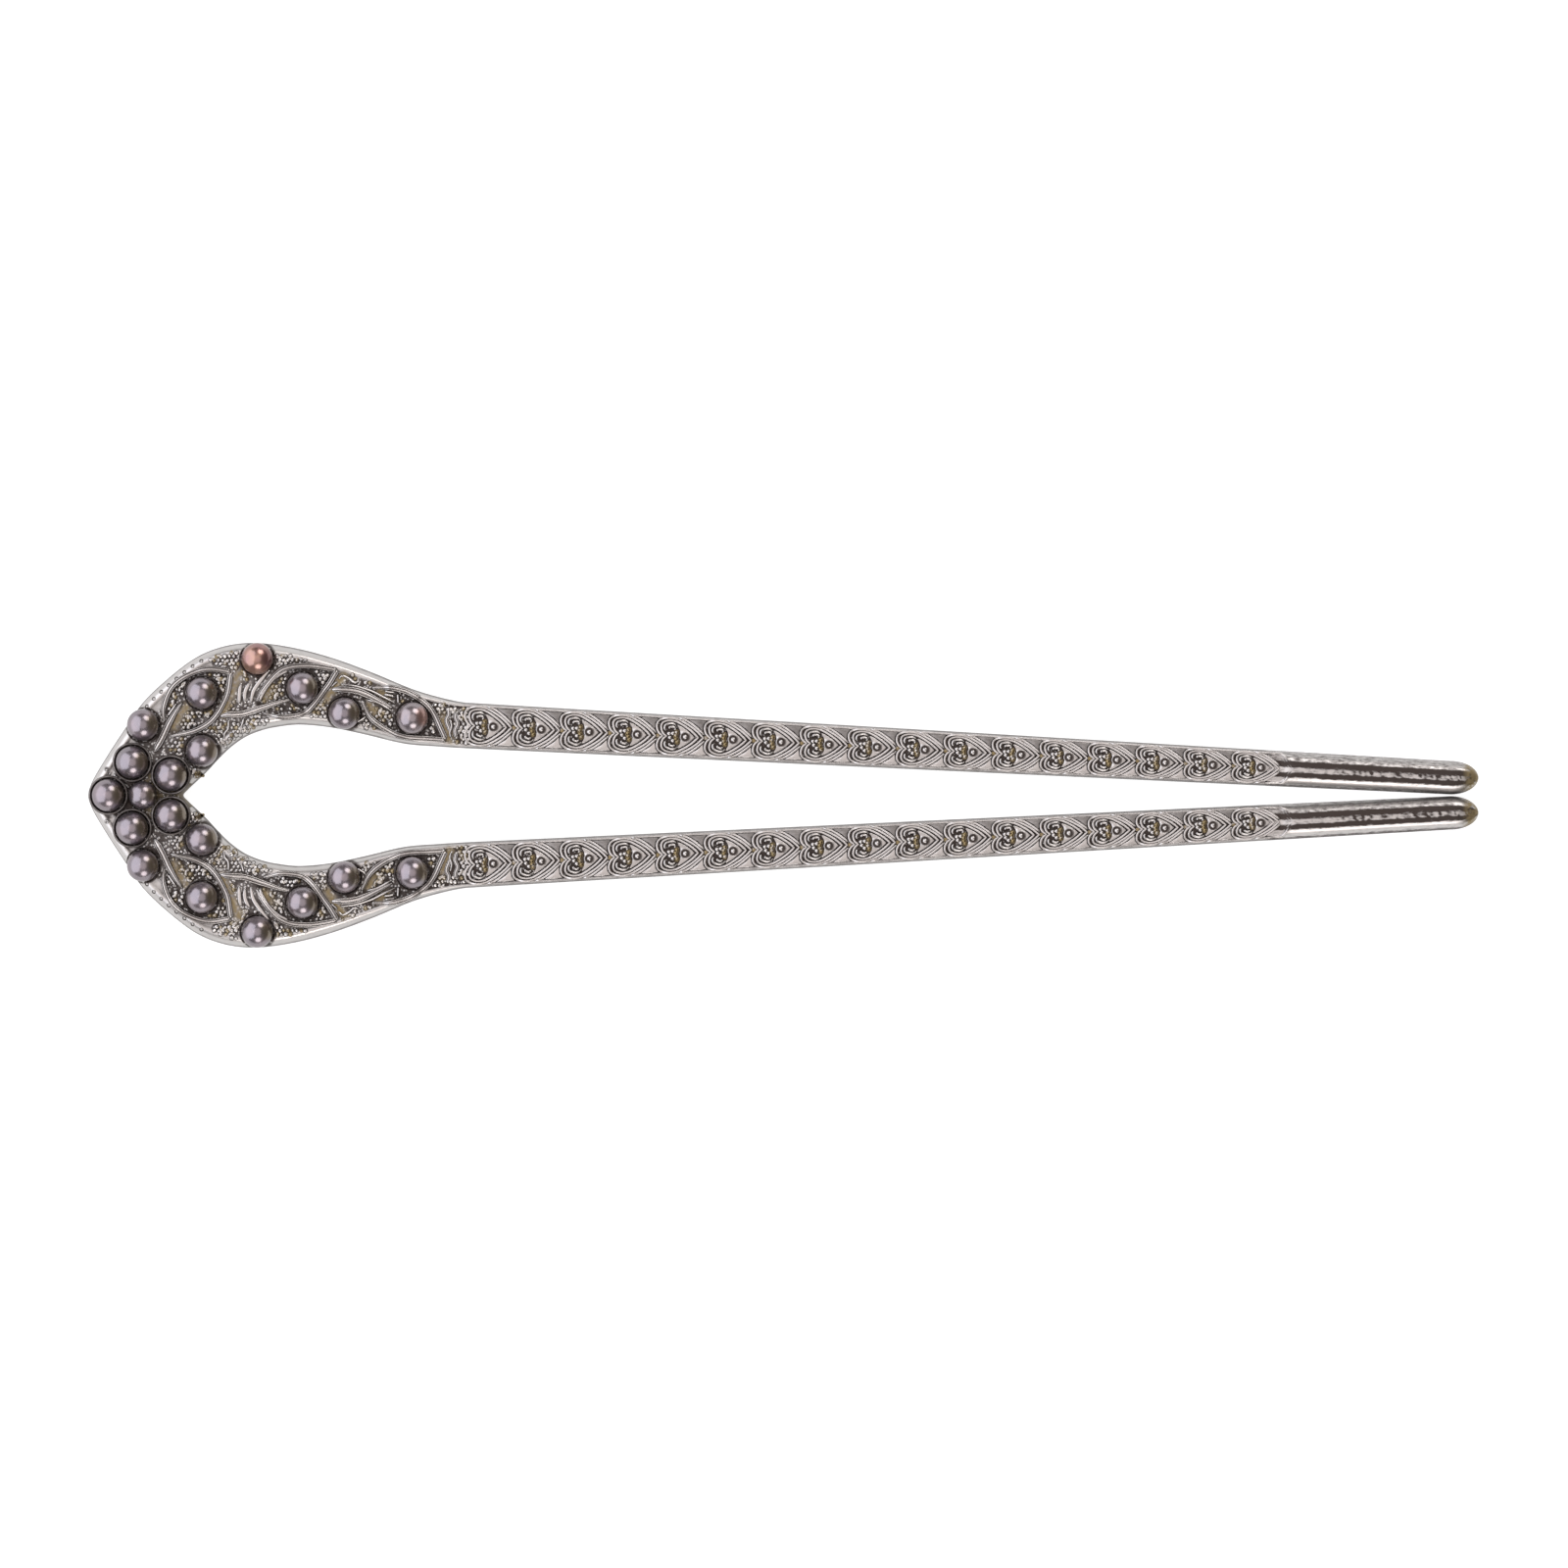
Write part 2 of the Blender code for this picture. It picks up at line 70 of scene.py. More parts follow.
HEAD_LENGTH = 0.0460
LOOP_WIDTH = 0.0173
PRONG_SPACING = 0.0171
PRONG_WIDTH = 0.0056
TIP_WIDTH = 0.0041
TIP_GAP = 0.0002
TIP_ROUND = 0.0034
SMOOTH_TIP = 0.0243
TIP_BLEND = 0.0016
NOTCH_WALL = 0.0014
BEYOND_ROOT = HEAD_LENGTH / 16

HEAD_THICKNESS = 0.0030
PRONG_THICKNESS = 0.0028
TIP_THICKNESS = 0.0025
HEAD_SHOULDER = 0.0011
PRONG_SHOULDER = 0.00030
SHOULDER_SHARE = 0.88
TIP_SHOULDER_SHARE = 0.96
NECK_START = 0.7
HEAD_SUNK = 0.00020
PRONG_SUNK = 0.00026
PRONG_LAND = 0.00010
HEAD_STEP = 0.00045
PRONG_STEP = 0.00016
BOW_OF_SHOULDER = 2.0
BOW_OF_TIP = 3.2

HEAD_COLUMNS = 380
PRONG_COLUMNS = 330
TIP_COLUMNS = 60
END_COLUMNS = 24
SHOULDER_TURNS = (0, 12, 25, 37, 46, 53, 58, 63, 68, 73, 78, 84, 90)
STEP_ROWS = 3
GROUND_ROWS = 9
# Where the band is narrow, its land and step end at these shares of the way to its middle.
LAND_LIMIT = 0.98
STEP_LIMIT = 0.985

Row = namedtuple("Row", "outer_x outer_y inner_x inner_y")
Section = namedtuple("Section", "outer inner width thickness shoulder level bow land sunk step")

# The bow of the head, in shares of the head's length and half width and of the loop's.
BOW = (
    Row(0.000, 0.000, 0.000, 0.000),
    Row(0.006, 0.087, 0.017, 0.085),
    Row(0.048, 0.265, 0.042, 0.180),
    Row(0.097, 0.450, 0.083, 0.335),
    Row(0.142, 0.610, 0.120, 0.495),
    Row(0.205, 0.760, 0.163, 0.665),
    Row(0.283, 0.905, 0.215, 0.815),
    Row(0.361, 0.980, 0.270, 0.910),
    Row(0.445, 1.000, 0.327, 0.965),
)
# The neck, whose widths are shares of what the bow stands wider than the root of the prong.
NECK = (
    Row(0.544, 0.917, 0.410, 1.000),
    Row(0.648, 0.744, 0.517, 0.890),
    Row(0.752, 0.504, 0.635, 0.607),
    Row(0.857, 0.231, 0.781, 0.200),
    Row(0.935, 0.083, 0.899, 0.077),
    Row(1.000, 0.000, 1.000, 0.000),
)

lowest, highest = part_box("fork")
NOSE_X = lowest.x
TIP_X = highest.x
HEAD_HALF = highest.y
ROOT_X = NOSE_X + HEAD_LENGTH
ROUND_X = TIP_X - TIP_ROUND
SMOOTH_X = TIP_X - SMOOTH_TIP


def mix(a, b, share):
    return a + (b - a) * share


def smooth(share):
    share = np.clip(share, 0, 1)
    return share * share * (3 - 2 * share)


def spline(points, place):
    """The points at place, counted in points, on a smooth curve through points."""
    points = np.asarray(points, float)
    run = np.vstack([2 * points[0] - points[1], points, 2 * points[-1] - points[-2]])
    k = np.clip(np.asarray(place).astype(int), 0, len(points) - 2)
    t = (place - k)[:, None]
    a, b, c, d = run[k], run[k + 1], run[k + 2], run[k + 3]
    return 0.5 * (2 * b + (c - a) * t + (2 * a - 5 * b + 4 * c - d) * t**2 + (3 * b - 3 * c + d - a) * t**3)


def curve(points, count):
    """As many points as count, evenly spaced on a smooth curve through points."""
    return spline(points, np.linspace(0, len(points) - 1, count))


def prong(x):
    """The middle line and half width of the left prong at x, and how full its end still is."""
    share = np.clip((x - ROOT_X) / (ROUND_X - ROOT_X), 0, 1)
    full = np.sqrt(np.clip(1 - np.clip((x - ROUND_X) / TIP_ROUND, 0, 1) ** 2, 0, 1))
    middle = mix(PRONG_SPACING, TIP_GAP + TIP_WIDTH, share) / 2
    return middle, mix(PRONG_WIDTH, TIP_WIDTH, share) / 2 * full, full, share


def head_edges():
    """The outer and inner edge of the left half of the head, with one point more at each end."""
    root_middle, root_half, _, _ = prong(ROOT_X)
    beyond_x = ROOT_X + BEYOND_ROOT
    beyond_middle, beyond_half, _, _ = prong(beyond_x)
    notch_x = flower_x + flower_radius * math.cos(math.pi / 5) + NOTCH_WALL
    edges = []
    for side, start_x, half in (("outer", NOSE_X, HEAD_HALF), ("inner", notch_x, LOOP_WIDTH / 2)):
        sign = 1 if side == "outer" else -1
        root_y = root_middle + sign * root_half
        points = []
        for row in BOW + NECK:
            x_share, y_share = getattr(row, side + "_x"), getattr(row, side + "_y")
            y = mix(root_y, half, y_share) if row in NECK else half * y_share
            points.append((mix(start_x, ROOT_X, x_share), y))
        before = (points[1][0], -points[1][1])
        edges.append(np.array([before, *points, (beyond_x, beyond_middle + sign * beyond_half)]))
    return edges


def pearl_place(node):
    """The centre and radius of a pearl's solid."""
    corner, far_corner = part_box(node)
    return np.array((corner + far_corner) / 2), (far_corner.z - corner.z) / 2


pearl_nodes = sorted(node for node in frame["nodes"] if node.startswith("pearl_"))
pearls = {node: pearl_place(node) for node in pearl_nodes}
flower_x = pearls["pearl_centre"][0][0]
flower_radius = flower_x - pearls["pearl_petal_1"][0][0]
outer_edge, inner_edge = head_edges()


def section(along):
    """The band's edges, widths and heights at along."""
    x = ROOT_X + (along - 1) * HEAD_LENGTH
    middle, half, full, share = prong(x)
    place = 1 + np.clip(along, 0, 1) * (len(outer_edge) - 3)
    on_head = (along <= 1)[:, None]
    outer = np.where(on_head, spline(outer_edge, place), np.stack([x, middle + half], 1))
    inner = np.where(on_head, spline(inner_edge, place), np.stack([x, middle - half], 1))
    outer = np.stack([np.maximum(outer[:, 0], NOSE_X), np.minimum(outer[:, 1], HEAD_HALF)], 1)
    width = np.maximum(np.linalg.norm(outer - inner, axis=1), 1e-9)
    neck = np.clip((along - NECK_START) / (1 - NECK_START), 0, 1)
    tip = smooth((x - SMOOTH_X) / TIP_BLEND)
    thickness = np.where(
        along <= 1,
        mix(HEAD_THICKNESS, PRONG_THICKNESS, neck),
        mix(PRONG_THICKNESS, TIP_THICKNESS, share) * np.sqrt(full),
    )
    shoulder = mix(mix(HEAD_SHOULDER, PRONG_SHOULDER, neck), width / 2 * TIP_SHOULDER_SHARE, tip)
    return Section(
        outer,
        inner,
        width,
        thickness,
        shoulder,
        thickness * mix(SHOULDER_SHARE, 1, tip),
        mix(BOW_OF_SHOULDER, BOW_OF_TIP, tip),
        mix(0, PRONG_LAND, neck) * (1 - tip),
        mix(HEAD_SUNK, PRONG_SUNK, neck) * (1 - tip),
        mix(HEAD_STEP, PRONG_STEP, neck),
    )


def face_height(at, inward):
    """The height of the plain face at the distances inward from its edge, a row for each section."""
    shoulder, level, bow = at.shoulder[:, None], at.level[:, None], at.bow[:, None]
    rounded = level * np.sqrt(1 - np.clip(1 - inward / shoulder, 0, 1) ** bow)
    reach = np.clip((inward - shoulder) / np.maximum(at.width[:, None] / 2 - shoulder, 1e-9), 0, 1)
    crowned = mix(level, at.thickness[:, None], 1 - (1 - reach) ** 2)
    sunk = at.sunk[:, None] * smooth((inward - shoulder - at.land[:, None]) / at.step[:, None])
    return np.where(inward < shoulder, rounded, crowned - sunk)


def band_rows(at):
    """How far the rows of the loft lie from the outer edge, a row for each section."""
    turned = 1 - np.cos(np.radians(SHOULDER_TURNS))
    shoulder = at.shoulder[:, None] * turned
    half = at.width[:, None] / 2
    land = np.minimum(at.shoulder + at.land, at.width / 2 * LAND_LIMIT)[:, None]
    foot = np.minimum(land + at.step[:, None], half * STEP_LIMIT)
    step = mix(land, foot, np.arange(1, STEP_ROWS + 1) / STEP_ROWS)
    ground = mix(foot, half, np.arange(1, GROUND_ROWS + 1) / GROUND_ROWS)
    rows = np.hstack([shoulder, step, ground])
    return np.hstack([rows, at.width[:, None] - rows[:, -2::-1]])


def along_of(x):
    return 1 + (x - ROOT_X) / HEAD_LENGTH


band_along = np.concatenate(
    [
        np.linspace(0, 1, HEAD_COLUMNS, endpoint=False),
        np.linspace(1, along_of(SMOOTH_X), PRONG_COLUMNS, endpoint=False),
        np.linspace(along_of(SMOOTH_X), along_of(ROUND_X), TIP_COLUMNS, endpoint=False),
        along_of(ROUND_X + TIP_ROUND * np.sin(np.linspace(0, math.pi / 2, END_COLUMNS))),
    ]
)
band = section(band_along)
band_across = band_rows(band)
band_inward = np.minimum(band_across, band.width[:, None] - band_across)
half_face = np.empty((*band_across.shape, 3))
half_face[:, :, :2] = mix(
    band.outer[:, None], band.inner[:, None], (band_across / band.width[:, None])[:, :, None]
)
half_face[:, :, 2] = face_height(band, band_inward)

columns, rows = band_across.shape
corner = np.arange((columns - 1) * rows).reshape(columns - 1, rows)[:, :-1].ravel()
face_tree = BVHTree.FromPolygons(
    half_face.reshape(-1, 3).tolist(),
    np.stack([corner, corner + 1, corner + rows + 1, corner + rows], 1).tolist(),
)
ABOVE = 0.01


def under(plan):
    """For each point of the plan, the height of the plain face under it, and the column and row of
    the loft there, or -1 where the point lies off the band. The two halves are alike."""
    found = []
    for x, y in plan:
        spot, _, number, _ = face_tree.ray_cast((x, abs(y), ABOVE), (0, 0, -1))
        if spot is None:
            spot, _, number, _ = face_tree.find_nearest((x, abs(y), HEAD_THICKNESS))
            found.append((spot.z, -1, -1))
        else:
            found.append((spot.z, number // (rows - 1), number % (rows - 1)))
    found = np.array(found)
    return found[:, 0], found[:, 1].astype(int), found[:, 2].astype(int)


def on_band(places, count):
    """The plan of a smooth line through places on the left half of the band."""
    along, across = curve(places, count).T
    at = section(along)
    return mix(at.inner, at.outer, across[:, None])


def from_lines(plan, lines):
    """How far each point of the plan lies from the nearest of the lines, each an array of points."""
    nearest = np.full(len(plan), np.inf)
    for line in lines:
        start, run = line[:-1], np.diff(line, axis=0)
        offset = plan[:, None] - start
        share = np.clip((offset * run).sum(2) / (run * run).sum(1), 0, 1)
        apart = np.linalg.norm(offset - share[:, :, None] * run, axis=2)
        nearest = np.minimum(nearest, apart.min(1))
    return nearest


def inside(plan, outline):
    """Whether each point of the plan lies inside a closed outline."""
    x, y = plan[:, :1], plan[:, 1:]
    x1, y1 = outline.T
    x2, y2 = np.roll(outline, -1, 0).T
    crosses = (y1 > y) != (y2 > y)
    with np.errstate(divide="ignore", invalid="ignore"):
        left = x < x1 + (y - y1) * (x2 - x1) / (y2 - y1)
    return (crosses & left).sum(1) % 2 == 1


# Each leaf is an outer and an inner ridge that meet at its tip. The ground between them is deeper.
LEAVES_OUTER = (
    ((0.280, 0.68), (0.310, 0.80), (0.365, 0.90), (0.430, 0.84), (0.490, 0.70)),
    ((0.530, 0.32), (0.575, 0.50), (0.620, 0.70), (0.670, 0.80), (0.725, 0.85)),
    ((0.790, 0.76), (0.825, 0.89), (0.865, 0.90), (0.910, 0.70), (0.950, 0.15)),
)
LEAVES_INNER = (
    ((0.490, 0.70), (0.450, 0.48), (0.385, 0.35), (0.320, 0.38), (0.255, 0.54)),
    ((0.725, 0.85), (0.705, 0.55), (0.665, 0.18), (0.610, 0.10), (0.540, 0.18)),
    ((0.950, 0.15), (0.900, 0.14), (0.845, 0.13), (0.800, 0.27), (0.775, 0.52)),
)
LEAF_POINTS = 72
leaf_outer_lines = [on_band(places, LEAF_POINTS) for places in LEAVES_OUTER]
leaf_inner_lines = [on_band(places, LEAF_POINTS) for places in LEAVES_INNER]
leaf_outlines = [np.vstack(pair) for pair in zip(leaf_outer_lines, leaf_inner_lines)]


def in_leaves(plan):
    """Whether each point of the plan lies in one of the leaves."""
    return np.any([inside(plan, outline) for outline in leaf_outlines], axis=0)


# Strips where the lacquer over the plating has turned olive, beside and inside the leaves.
OLIVE_STRIPS = (
    ((0.509, 0.66), (0.468, 0.50), (0.413, 0.33)),
    ((0.738, 0.80), (0.722, 0.60), (0.710, 0.40)),
    ((0.940, 0.58), (0.951, 0.35), (0.960, 0.16)),
    ((0.349, 0.63), (0.319, 0.62), (0.286, 0.58)),
    ((0.561, 0.35), (0.572, 0.41), (0.581, 0.46)),
    ((0.789, 0.50), (0.796, 0.44), (0.802, 0.39)),
    ((0.802, 0.75), (0.810, 0.73), (0.818, 0.71)),
)
OLIVE_POINTS = 12
olive_lines = [on_band(places, OLIVE_POINTS) for places in OLIVE_STRIPS]
OLIVE_REACH = 0.00050
NOTCH_OLIVE = 0.5
TIP_OLIVE_LENGTH = 0.0011

# Hollows below the ground, in the leaves and under the pearls.
LEAF_HOLLOW = 0.00025
LEAF_HOLLOW_EDGE = 0.0005
SEAT_CLEARANCE = 0.00014

# Patina of each part of the face, with painted shade where noted. Above 1 it stays darkest and hides the
# grain of the ground.
EDGE_WEAR = 0.06
# Painted shade: a grey band along the foot of the edge and over the lower flank, in place of the table's
# shade that the metal would mirror there.
PAINTED_SHADE_FOOT = 0.00013
EDGE_PAINTED_SHADE = 0.66
FLANK_TOP = 0.0011
FLANK_BLEND = 0.0004
HEAD_GROUND = 0.80
HEART_GROUND = 1.4
HEART_GROUND_START = 0.5
LEAF_GROUND = 0.88
FLOWER_GROUND = 1.2
STRIP_GROUND = 0.5
BORDER_GROUND = 0.30
BORDER_WIDTH = 0.0024
BORDER_END = 0.455
NOTCH_GROUND = 0.8
NOTCH_END = 0.13
# Painted shade: the land along the right edge of both prongs is darkened alike from the neck on.
RIGHT_EDGE_PAINTED_SHADE = 0.42
RIGHT_EDGE = 0.9
RIGHT_EDGE_BLEND = 0.03
RIGHT_EDGE_START = 0.95
RIGHT_EDGE_SWELL = 0.1
# A dark rim round each pearl: patina in the crevice of its seat, and painted shadow that reaches wider on
# the side that faces this way, away from the light.
SEAT_DARK = 0.00012
SEAT_PAINTED_SHADOW = 0.00055
PAINTED_SHADOW_WAY = (0.86, -0.5)
# Two dark pits lie on the flank beside the nose.
PITS = ((-0.0828, 0.0032), (-0.0825, 0.0026))
PIT_SIZE = 0.00028
PIT_CORE = 0.6
PIT_SHADE = 0.8
# Painted reflection along the smooth tips, alike on both: dark bands where the metal would mirror the dark
# gaps between the lights, with bright metal between them. Each row: share of the width from the left edge,
# and patina.
BANDED_TIP_X = SMOOTH_X - 0.0019
BANDED_TIP_BLEND = 0.0004
TIP_REFLECTION_BANDS = (
    (0.00, 0.60), (0.03, 0.32), (0.10, 0.38), (0.20, 0.38), (0.27, 0.48), (0.30, 1.25), (0.42, 1.25),
    (0.45, 0.08), (0.59, 0.12), (0.62, 1.25), (0.72, 1.25), (0.75, 0.00), (0.92, 0.00), (0.95, 0.70),
    (1.00, 0.95),
)
# Nicks lie across the bright middle band in two rows. They are faint where the bands begin.
NICKED = (0.43, 0.54, 0.63)
NICK_RARITY = 2.4
NICK_DEPTH = 1.1
NICK_START = along_of(SMOOTH_X + 0.006)
NICK_SWELL = 0.06
FAINT_NICKS = 0.3

plan = half_face[:, :, :2].reshape(-1, 2)
along_grid = np.repeat(band_along, rows)
inward_grid = band_inward.ravel()
is_outer = (np.arange(rows) < rows / 2)[None].repeat(columns, 0).ravel()
height_grid = half_face[:, :, 2].ravel()
shaded_lower_flank = smooth((FLANK_TOP - height_grid) / FLANK_BLEND)
shoulder_grid = np.repeat(band.shoulder, rows)
on_banded_tip = smooth((plan[:, 0] - BANDED_TIP_X) / BANDED_TIP_BLEND)

in_leaf = in_leaves(plan)
field = smooth((inward_grid - shoulder_grid - np.repeat(band.land, rows)) / np.repeat(band.step, rows))
border = is_outer & ~in_leaf & (along_grid < BORDER_END) & (inward_grid < BORDER_WIDTH)
ground = mix(HEAD_GROUND, HEART_GROUND, smooth(along_grid - HEART_GROUND_START))
patina = EDGE_WEAR + (ground - EDGE_WEAR) * field
patina[border] = EDGE_WEAR + BORDER_GROUND * field[border]
patina[in_leaf] = LEAF_GROUND
from_flower = np.linalg.norm(plan - (flower_x, 0), axis=1)
patina = np.where(from_flower < flower_radius, FLOWER_GROUND, patina)
notch_wall = ~is_outer & (along_grid < NOTCH_END)
patina[notch_wall] = NOTCH_GROUND
# Painted shade along the foot of the edge.
patina = np.maximum(patina, EDGE_PAINTED_SHADE * (1 - smooth(inward_grid / PAINTED_SHADE_FOOT - 1)))
from_ridges = from_lines(plan, leaf_outer_lines + leaf_inner_lines)
height_grid -= LEAF_HOLLOW * in_leaf * smooth(from_ridges / LEAF_HOLLOW_EDGE)
olive = np.exp(-((from_lines(plan, olive_lines) / OLIVE_REACH) ** 2))
patina = mix(patina, STRIP_GROUND, olive)
for centre, radius in pearls.values():
    seat = radius + SEAT_CLEARANCE
    away = plan - (centre[0], abs(centre[1]))
    apart = np.linalg.norm(away, axis=1)
    bowl = centre[2] - np.sqrt(np.maximum(seat**2 - apart**2, 0))
    height_grid = np.where(apart < seat, np.minimum(height_grid, bowl), height_grid)
    # Painted shadow: the rim darkens farther out on the side away from the light.
    shaded = smooth(0.5 + 0.5 * away @ PAINTED_SHADOW_WAY / apart)
    patina = np.maximum(patina, 1 - smooth((apart - seat) / mix(SEAT_DARK, SEAT_PAINTED_SHADOW, shaded)))
# Painted shade over the lower flank, which also covers the darkening round the seats there.
patina = mix(patina, EDGE_PAINTED_SHADE, shaded_lower_flank)
olive[notch_wall] = NOTCH_OLIVE
olive = np.maximum(olive, smooth((plan[:, 0] - TIP_X + 2 * TIP_OLIVE_LENGTH) / TIP_OLIVE_LENGTH))
half_face[:, :, 2] = height_grid.reshape(columns, rows)
for pit in PITS:
    from_pit = np.linalg.norm(plan - pit, axis=1)
    patina = np.maximum(patina, PIT_SHADE * (1 - smooth(from_pit / PIT_SIZE - PIT_CORE)))


def with_painted_bands_and_shade(from_left, seed):
    """The patina with the painted reflection bands and the nicks of the tips, and the painted shade on the
    right edge of the prongs. from_left is the share of the width from the edge that lies to the left."""
    # Painted shade on the right edge of the prong.
    edge = RIGHT_EDGE_PAINTED_SHADE * smooth((from_left - RIGHT_EDGE) / RIGHT_EDGE_BLEND)
    edge = edge * smooth((along_grid - RIGHT_EDGE_START) / RIGHT_EDGE_SWELL)
    # Painted reflection: dark bands along the tips, with the nicks across them.
    bands = np.interp(from_left, *zip(*TIP_REFLECTION_BANDS))
    nicks = NICK_DEPTH * np.random.default_rng(seed).random((2, columns)) ** NICK_RARITY
    nicks *= mix(FAINT_NICKS, 1, smooth((band_along - NICK_START) / NICK_SWELL))
    for row, start, end in zip(nicks, NICKED[:-1], NICKED[1:]):
        bands += np.repeat(row, rows) * ((from_left > start) & (from_left < end))
    return mix(np.maximum(patina, edge), bands, on_banded_tip)


across_grid = (band_across / band.width[:, None]).ravel()
# The casting's patina, with the painted reflection bands of the tips and the painted shade of the prongs'
# right edges.
left_patina_and_shade = with_painted_bands_and_shade(across_grid, seed=3)
right_patina_and_shade = with_painted_bands_and_shade(1 - across_grid, seed=4)


class Shell:
    """Gathers lofted surfaces into one mesh. Every point has a patina, from 0 where the metal is rubbed
    bright to 1 where it is darkest, which in places also carries painted shade and painted reflection, and
    an olive tint from 0 to 1."""

    def __init__(self):
        self.count = 0
        self.points = []
        self.faces = []
        self.patina = []
        self.olive = []

    def add(self, grid, patina, olive=0, ring=False, caps=True):
        """Adds a loft: a row of points for each section, whose sections are closed loops. A ring
        joins the last section to the first; otherwise caps close both ends."""
        sections, around = grid.shape[:2]
        number = self.count + np.arange(sections * around).reshape(sections, around)
        self.count += sections * around
        following = np.roll(number, -1, 0) if ring else number[1:]
        here = number if ring else number[:-1]
        quads = np.stack([here, np.roll(here, -1, 1), np.roll(following, -1, 1), following], 2)
        self.faces.extend(quads.reshape(-1, 4).tolist())
        if caps and not ring:
            self.faces.append(number[0][::-1].tolist())
            self.faces.append(number[-1].tolist())
        self.points.append(grid.reshape(-1, 3))
        self.patina.append(np.broadcast_to(patina, (sections, around)).ravel())
        self.olive.append(np.broadcast_to(olive, (sections, around)).ravel())

    def mirror(self):
        """Adds the right half, the mirror image of what was gathered so far."""
        self.faces.extend([[number + self.count for number in reversed(face)] for face in self.faces])
        self.points.extend([points * (1, -1, 1) for points in self.points])
        self.patina.extend(list(self.patina))
        self.olive.extend(list(self.olive))
        self.count *= 2

    def piece(self, name, material, sharp=None):
        """The gathered mesh as an object, shaded smooth, with its faces turned outward."""
        data = bpy.data.meshes.new(name)
        data.from_pydata(np.vstack(self.points).tolist(), [], self.faces)
        for kind, values in (("patina", self.patina), ("olive", self.olive)):
            attribute = data.attributes.new(kind, "FLOAT", "POINT")
            attribute.data.foreach_set("value", np.concatenate(values).astype(np.float32))
        work = bmesh.new()
        work.from_mesh(data)
        bmesh.ops.remove_doubles(work, verts=work.verts, dist=1e-7)
        bmesh.ops.recalc_face_normals(work, faces=work.faces)
        work.to_mesh(data)
        work.free()
        data.shade_smooth()
        if sharp:
            data.set_sharp_from_angle(angle=math.radians(sharp))
        data.materials.append(material)
        return placed(name, data)


def placed(name, data):
    """A new object in the scene."""
    made = bpy.data.objects.new(name, data)
    bpy.context.scene.collection.objects.link(made)
    return made


def put(tree, kind, inputs=None, **settings):
    """A new node, with its inputs set to values or linked to other nodes' outputs."""
    node = tree.nodes.new(kind)
    for name, value in settings.items():
        setattr(node, name, value)
    for name, value in (inputs or {}).items():
        if isinstance(value, bpy.types.NodeSocket):
            tree.links.new(value, node.inputs[name])
        else:
            node.inputs[name].default_value = value
    return node


def maths(tree, operation, *values):
    """The result of a Math node."""
    return put(tree, "ShaderNodeMath", dict(enumerate(values)), operation=operation).outputs[0]


def ranged(tree, value, start, end, first=0.0, last=1.0, easing="LINEAR"):
    """A value that goes from first to last while another goes from start to end."""
    limits = {"Value": value, "From Min": start, "From Max": end, "To Min": first, "To Max": last}
    return put(tree, "ShaderNodeMapRange", limits, interpolation_type=easing).outputs["Result"]


def blended(tree, share, first, last):
    """A mix of two colours."""
    return put(tree, "ShaderNodeMix", {0: share, 6: first, 7: last}, data_type="RGBA").outputs[2]


def cloudy(tree, place, scale, detail=2.0, roughness=0.5):
    """A smooth noise from 0 to 1, with as many clouds in a metre as scale says."""
    inputs = {"Vector": place, "Scale": scale, "Detail": detail, "Roughness": roughness}
    return put(tree, "ShaderNodeTexNoise", inputs).outputs["Fac"]


def new_group(name, inputs, outputs):
    """A shader node group with named inputs and outputs, and the sockets that stand for them inside."""
    group = bpy.data.node_groups.new(name, "ShaderNodeTree")
    for label, kind, value in inputs:
        group.interface.new_socket(name=label, in_out="INPUT", socket_type=kind).default_value = value
    for label, kind in outputs:
        group.interface.new_socket(name=label, in_out="OUTPUT", socket_type=kind)
    return group, group.nodes.new("NodeGroupInput").outputs, group.nodes.new("NodeGroupOutput").inputs


def new_material(name):
    """A material, its node tree and its main shader."""
    material = bpy.data.materials.new(name)
    material.use_nodes = True
    return material, material.node_tree, material.node_tree.nodes["Principled BSDF"]


NUMBER = "NodeSocketFloat"
COLOUR = "NodeSocketColor"
# Clouds in a metre: scratches, which are drawn out along the fork, olive patches and fine unevenness.
SCRATCHES_IN_METRE = 3800.0
SCRATCH_STRETCH = (0.35, 1.0, 1.0)
PATCHES_IN_METRE = 1700.0
FINE_IN_METRE = 6500.0
# How much of the scratches shows before the tips begin.
BODY_SCRATCHES = 0.3
# How far from the middle of its cell a grain is whole, and where it ends, in shares of the cell.
GRAIN_CORE = 0.12
GRAIN_EDGE = 0.6
# How many times higher a grain of the ground stands than the fine unevenness of the metal.
GRAIN_RELIEF = 16.0
# The patina from which grains begin to show and are whole, and how far upward the metal has to face.
GRAIN_PATINA = (0.5, 0.75)
GRAIN_LEVEL = (0.35, 0.65)
# How cloudy a spot has to be for an olive patch to begin and to be full.
OLIVE_PATCHES = (0.25, 0.5)
FINE_DULLNESS = 0.12
DARK_METAL = 0.7


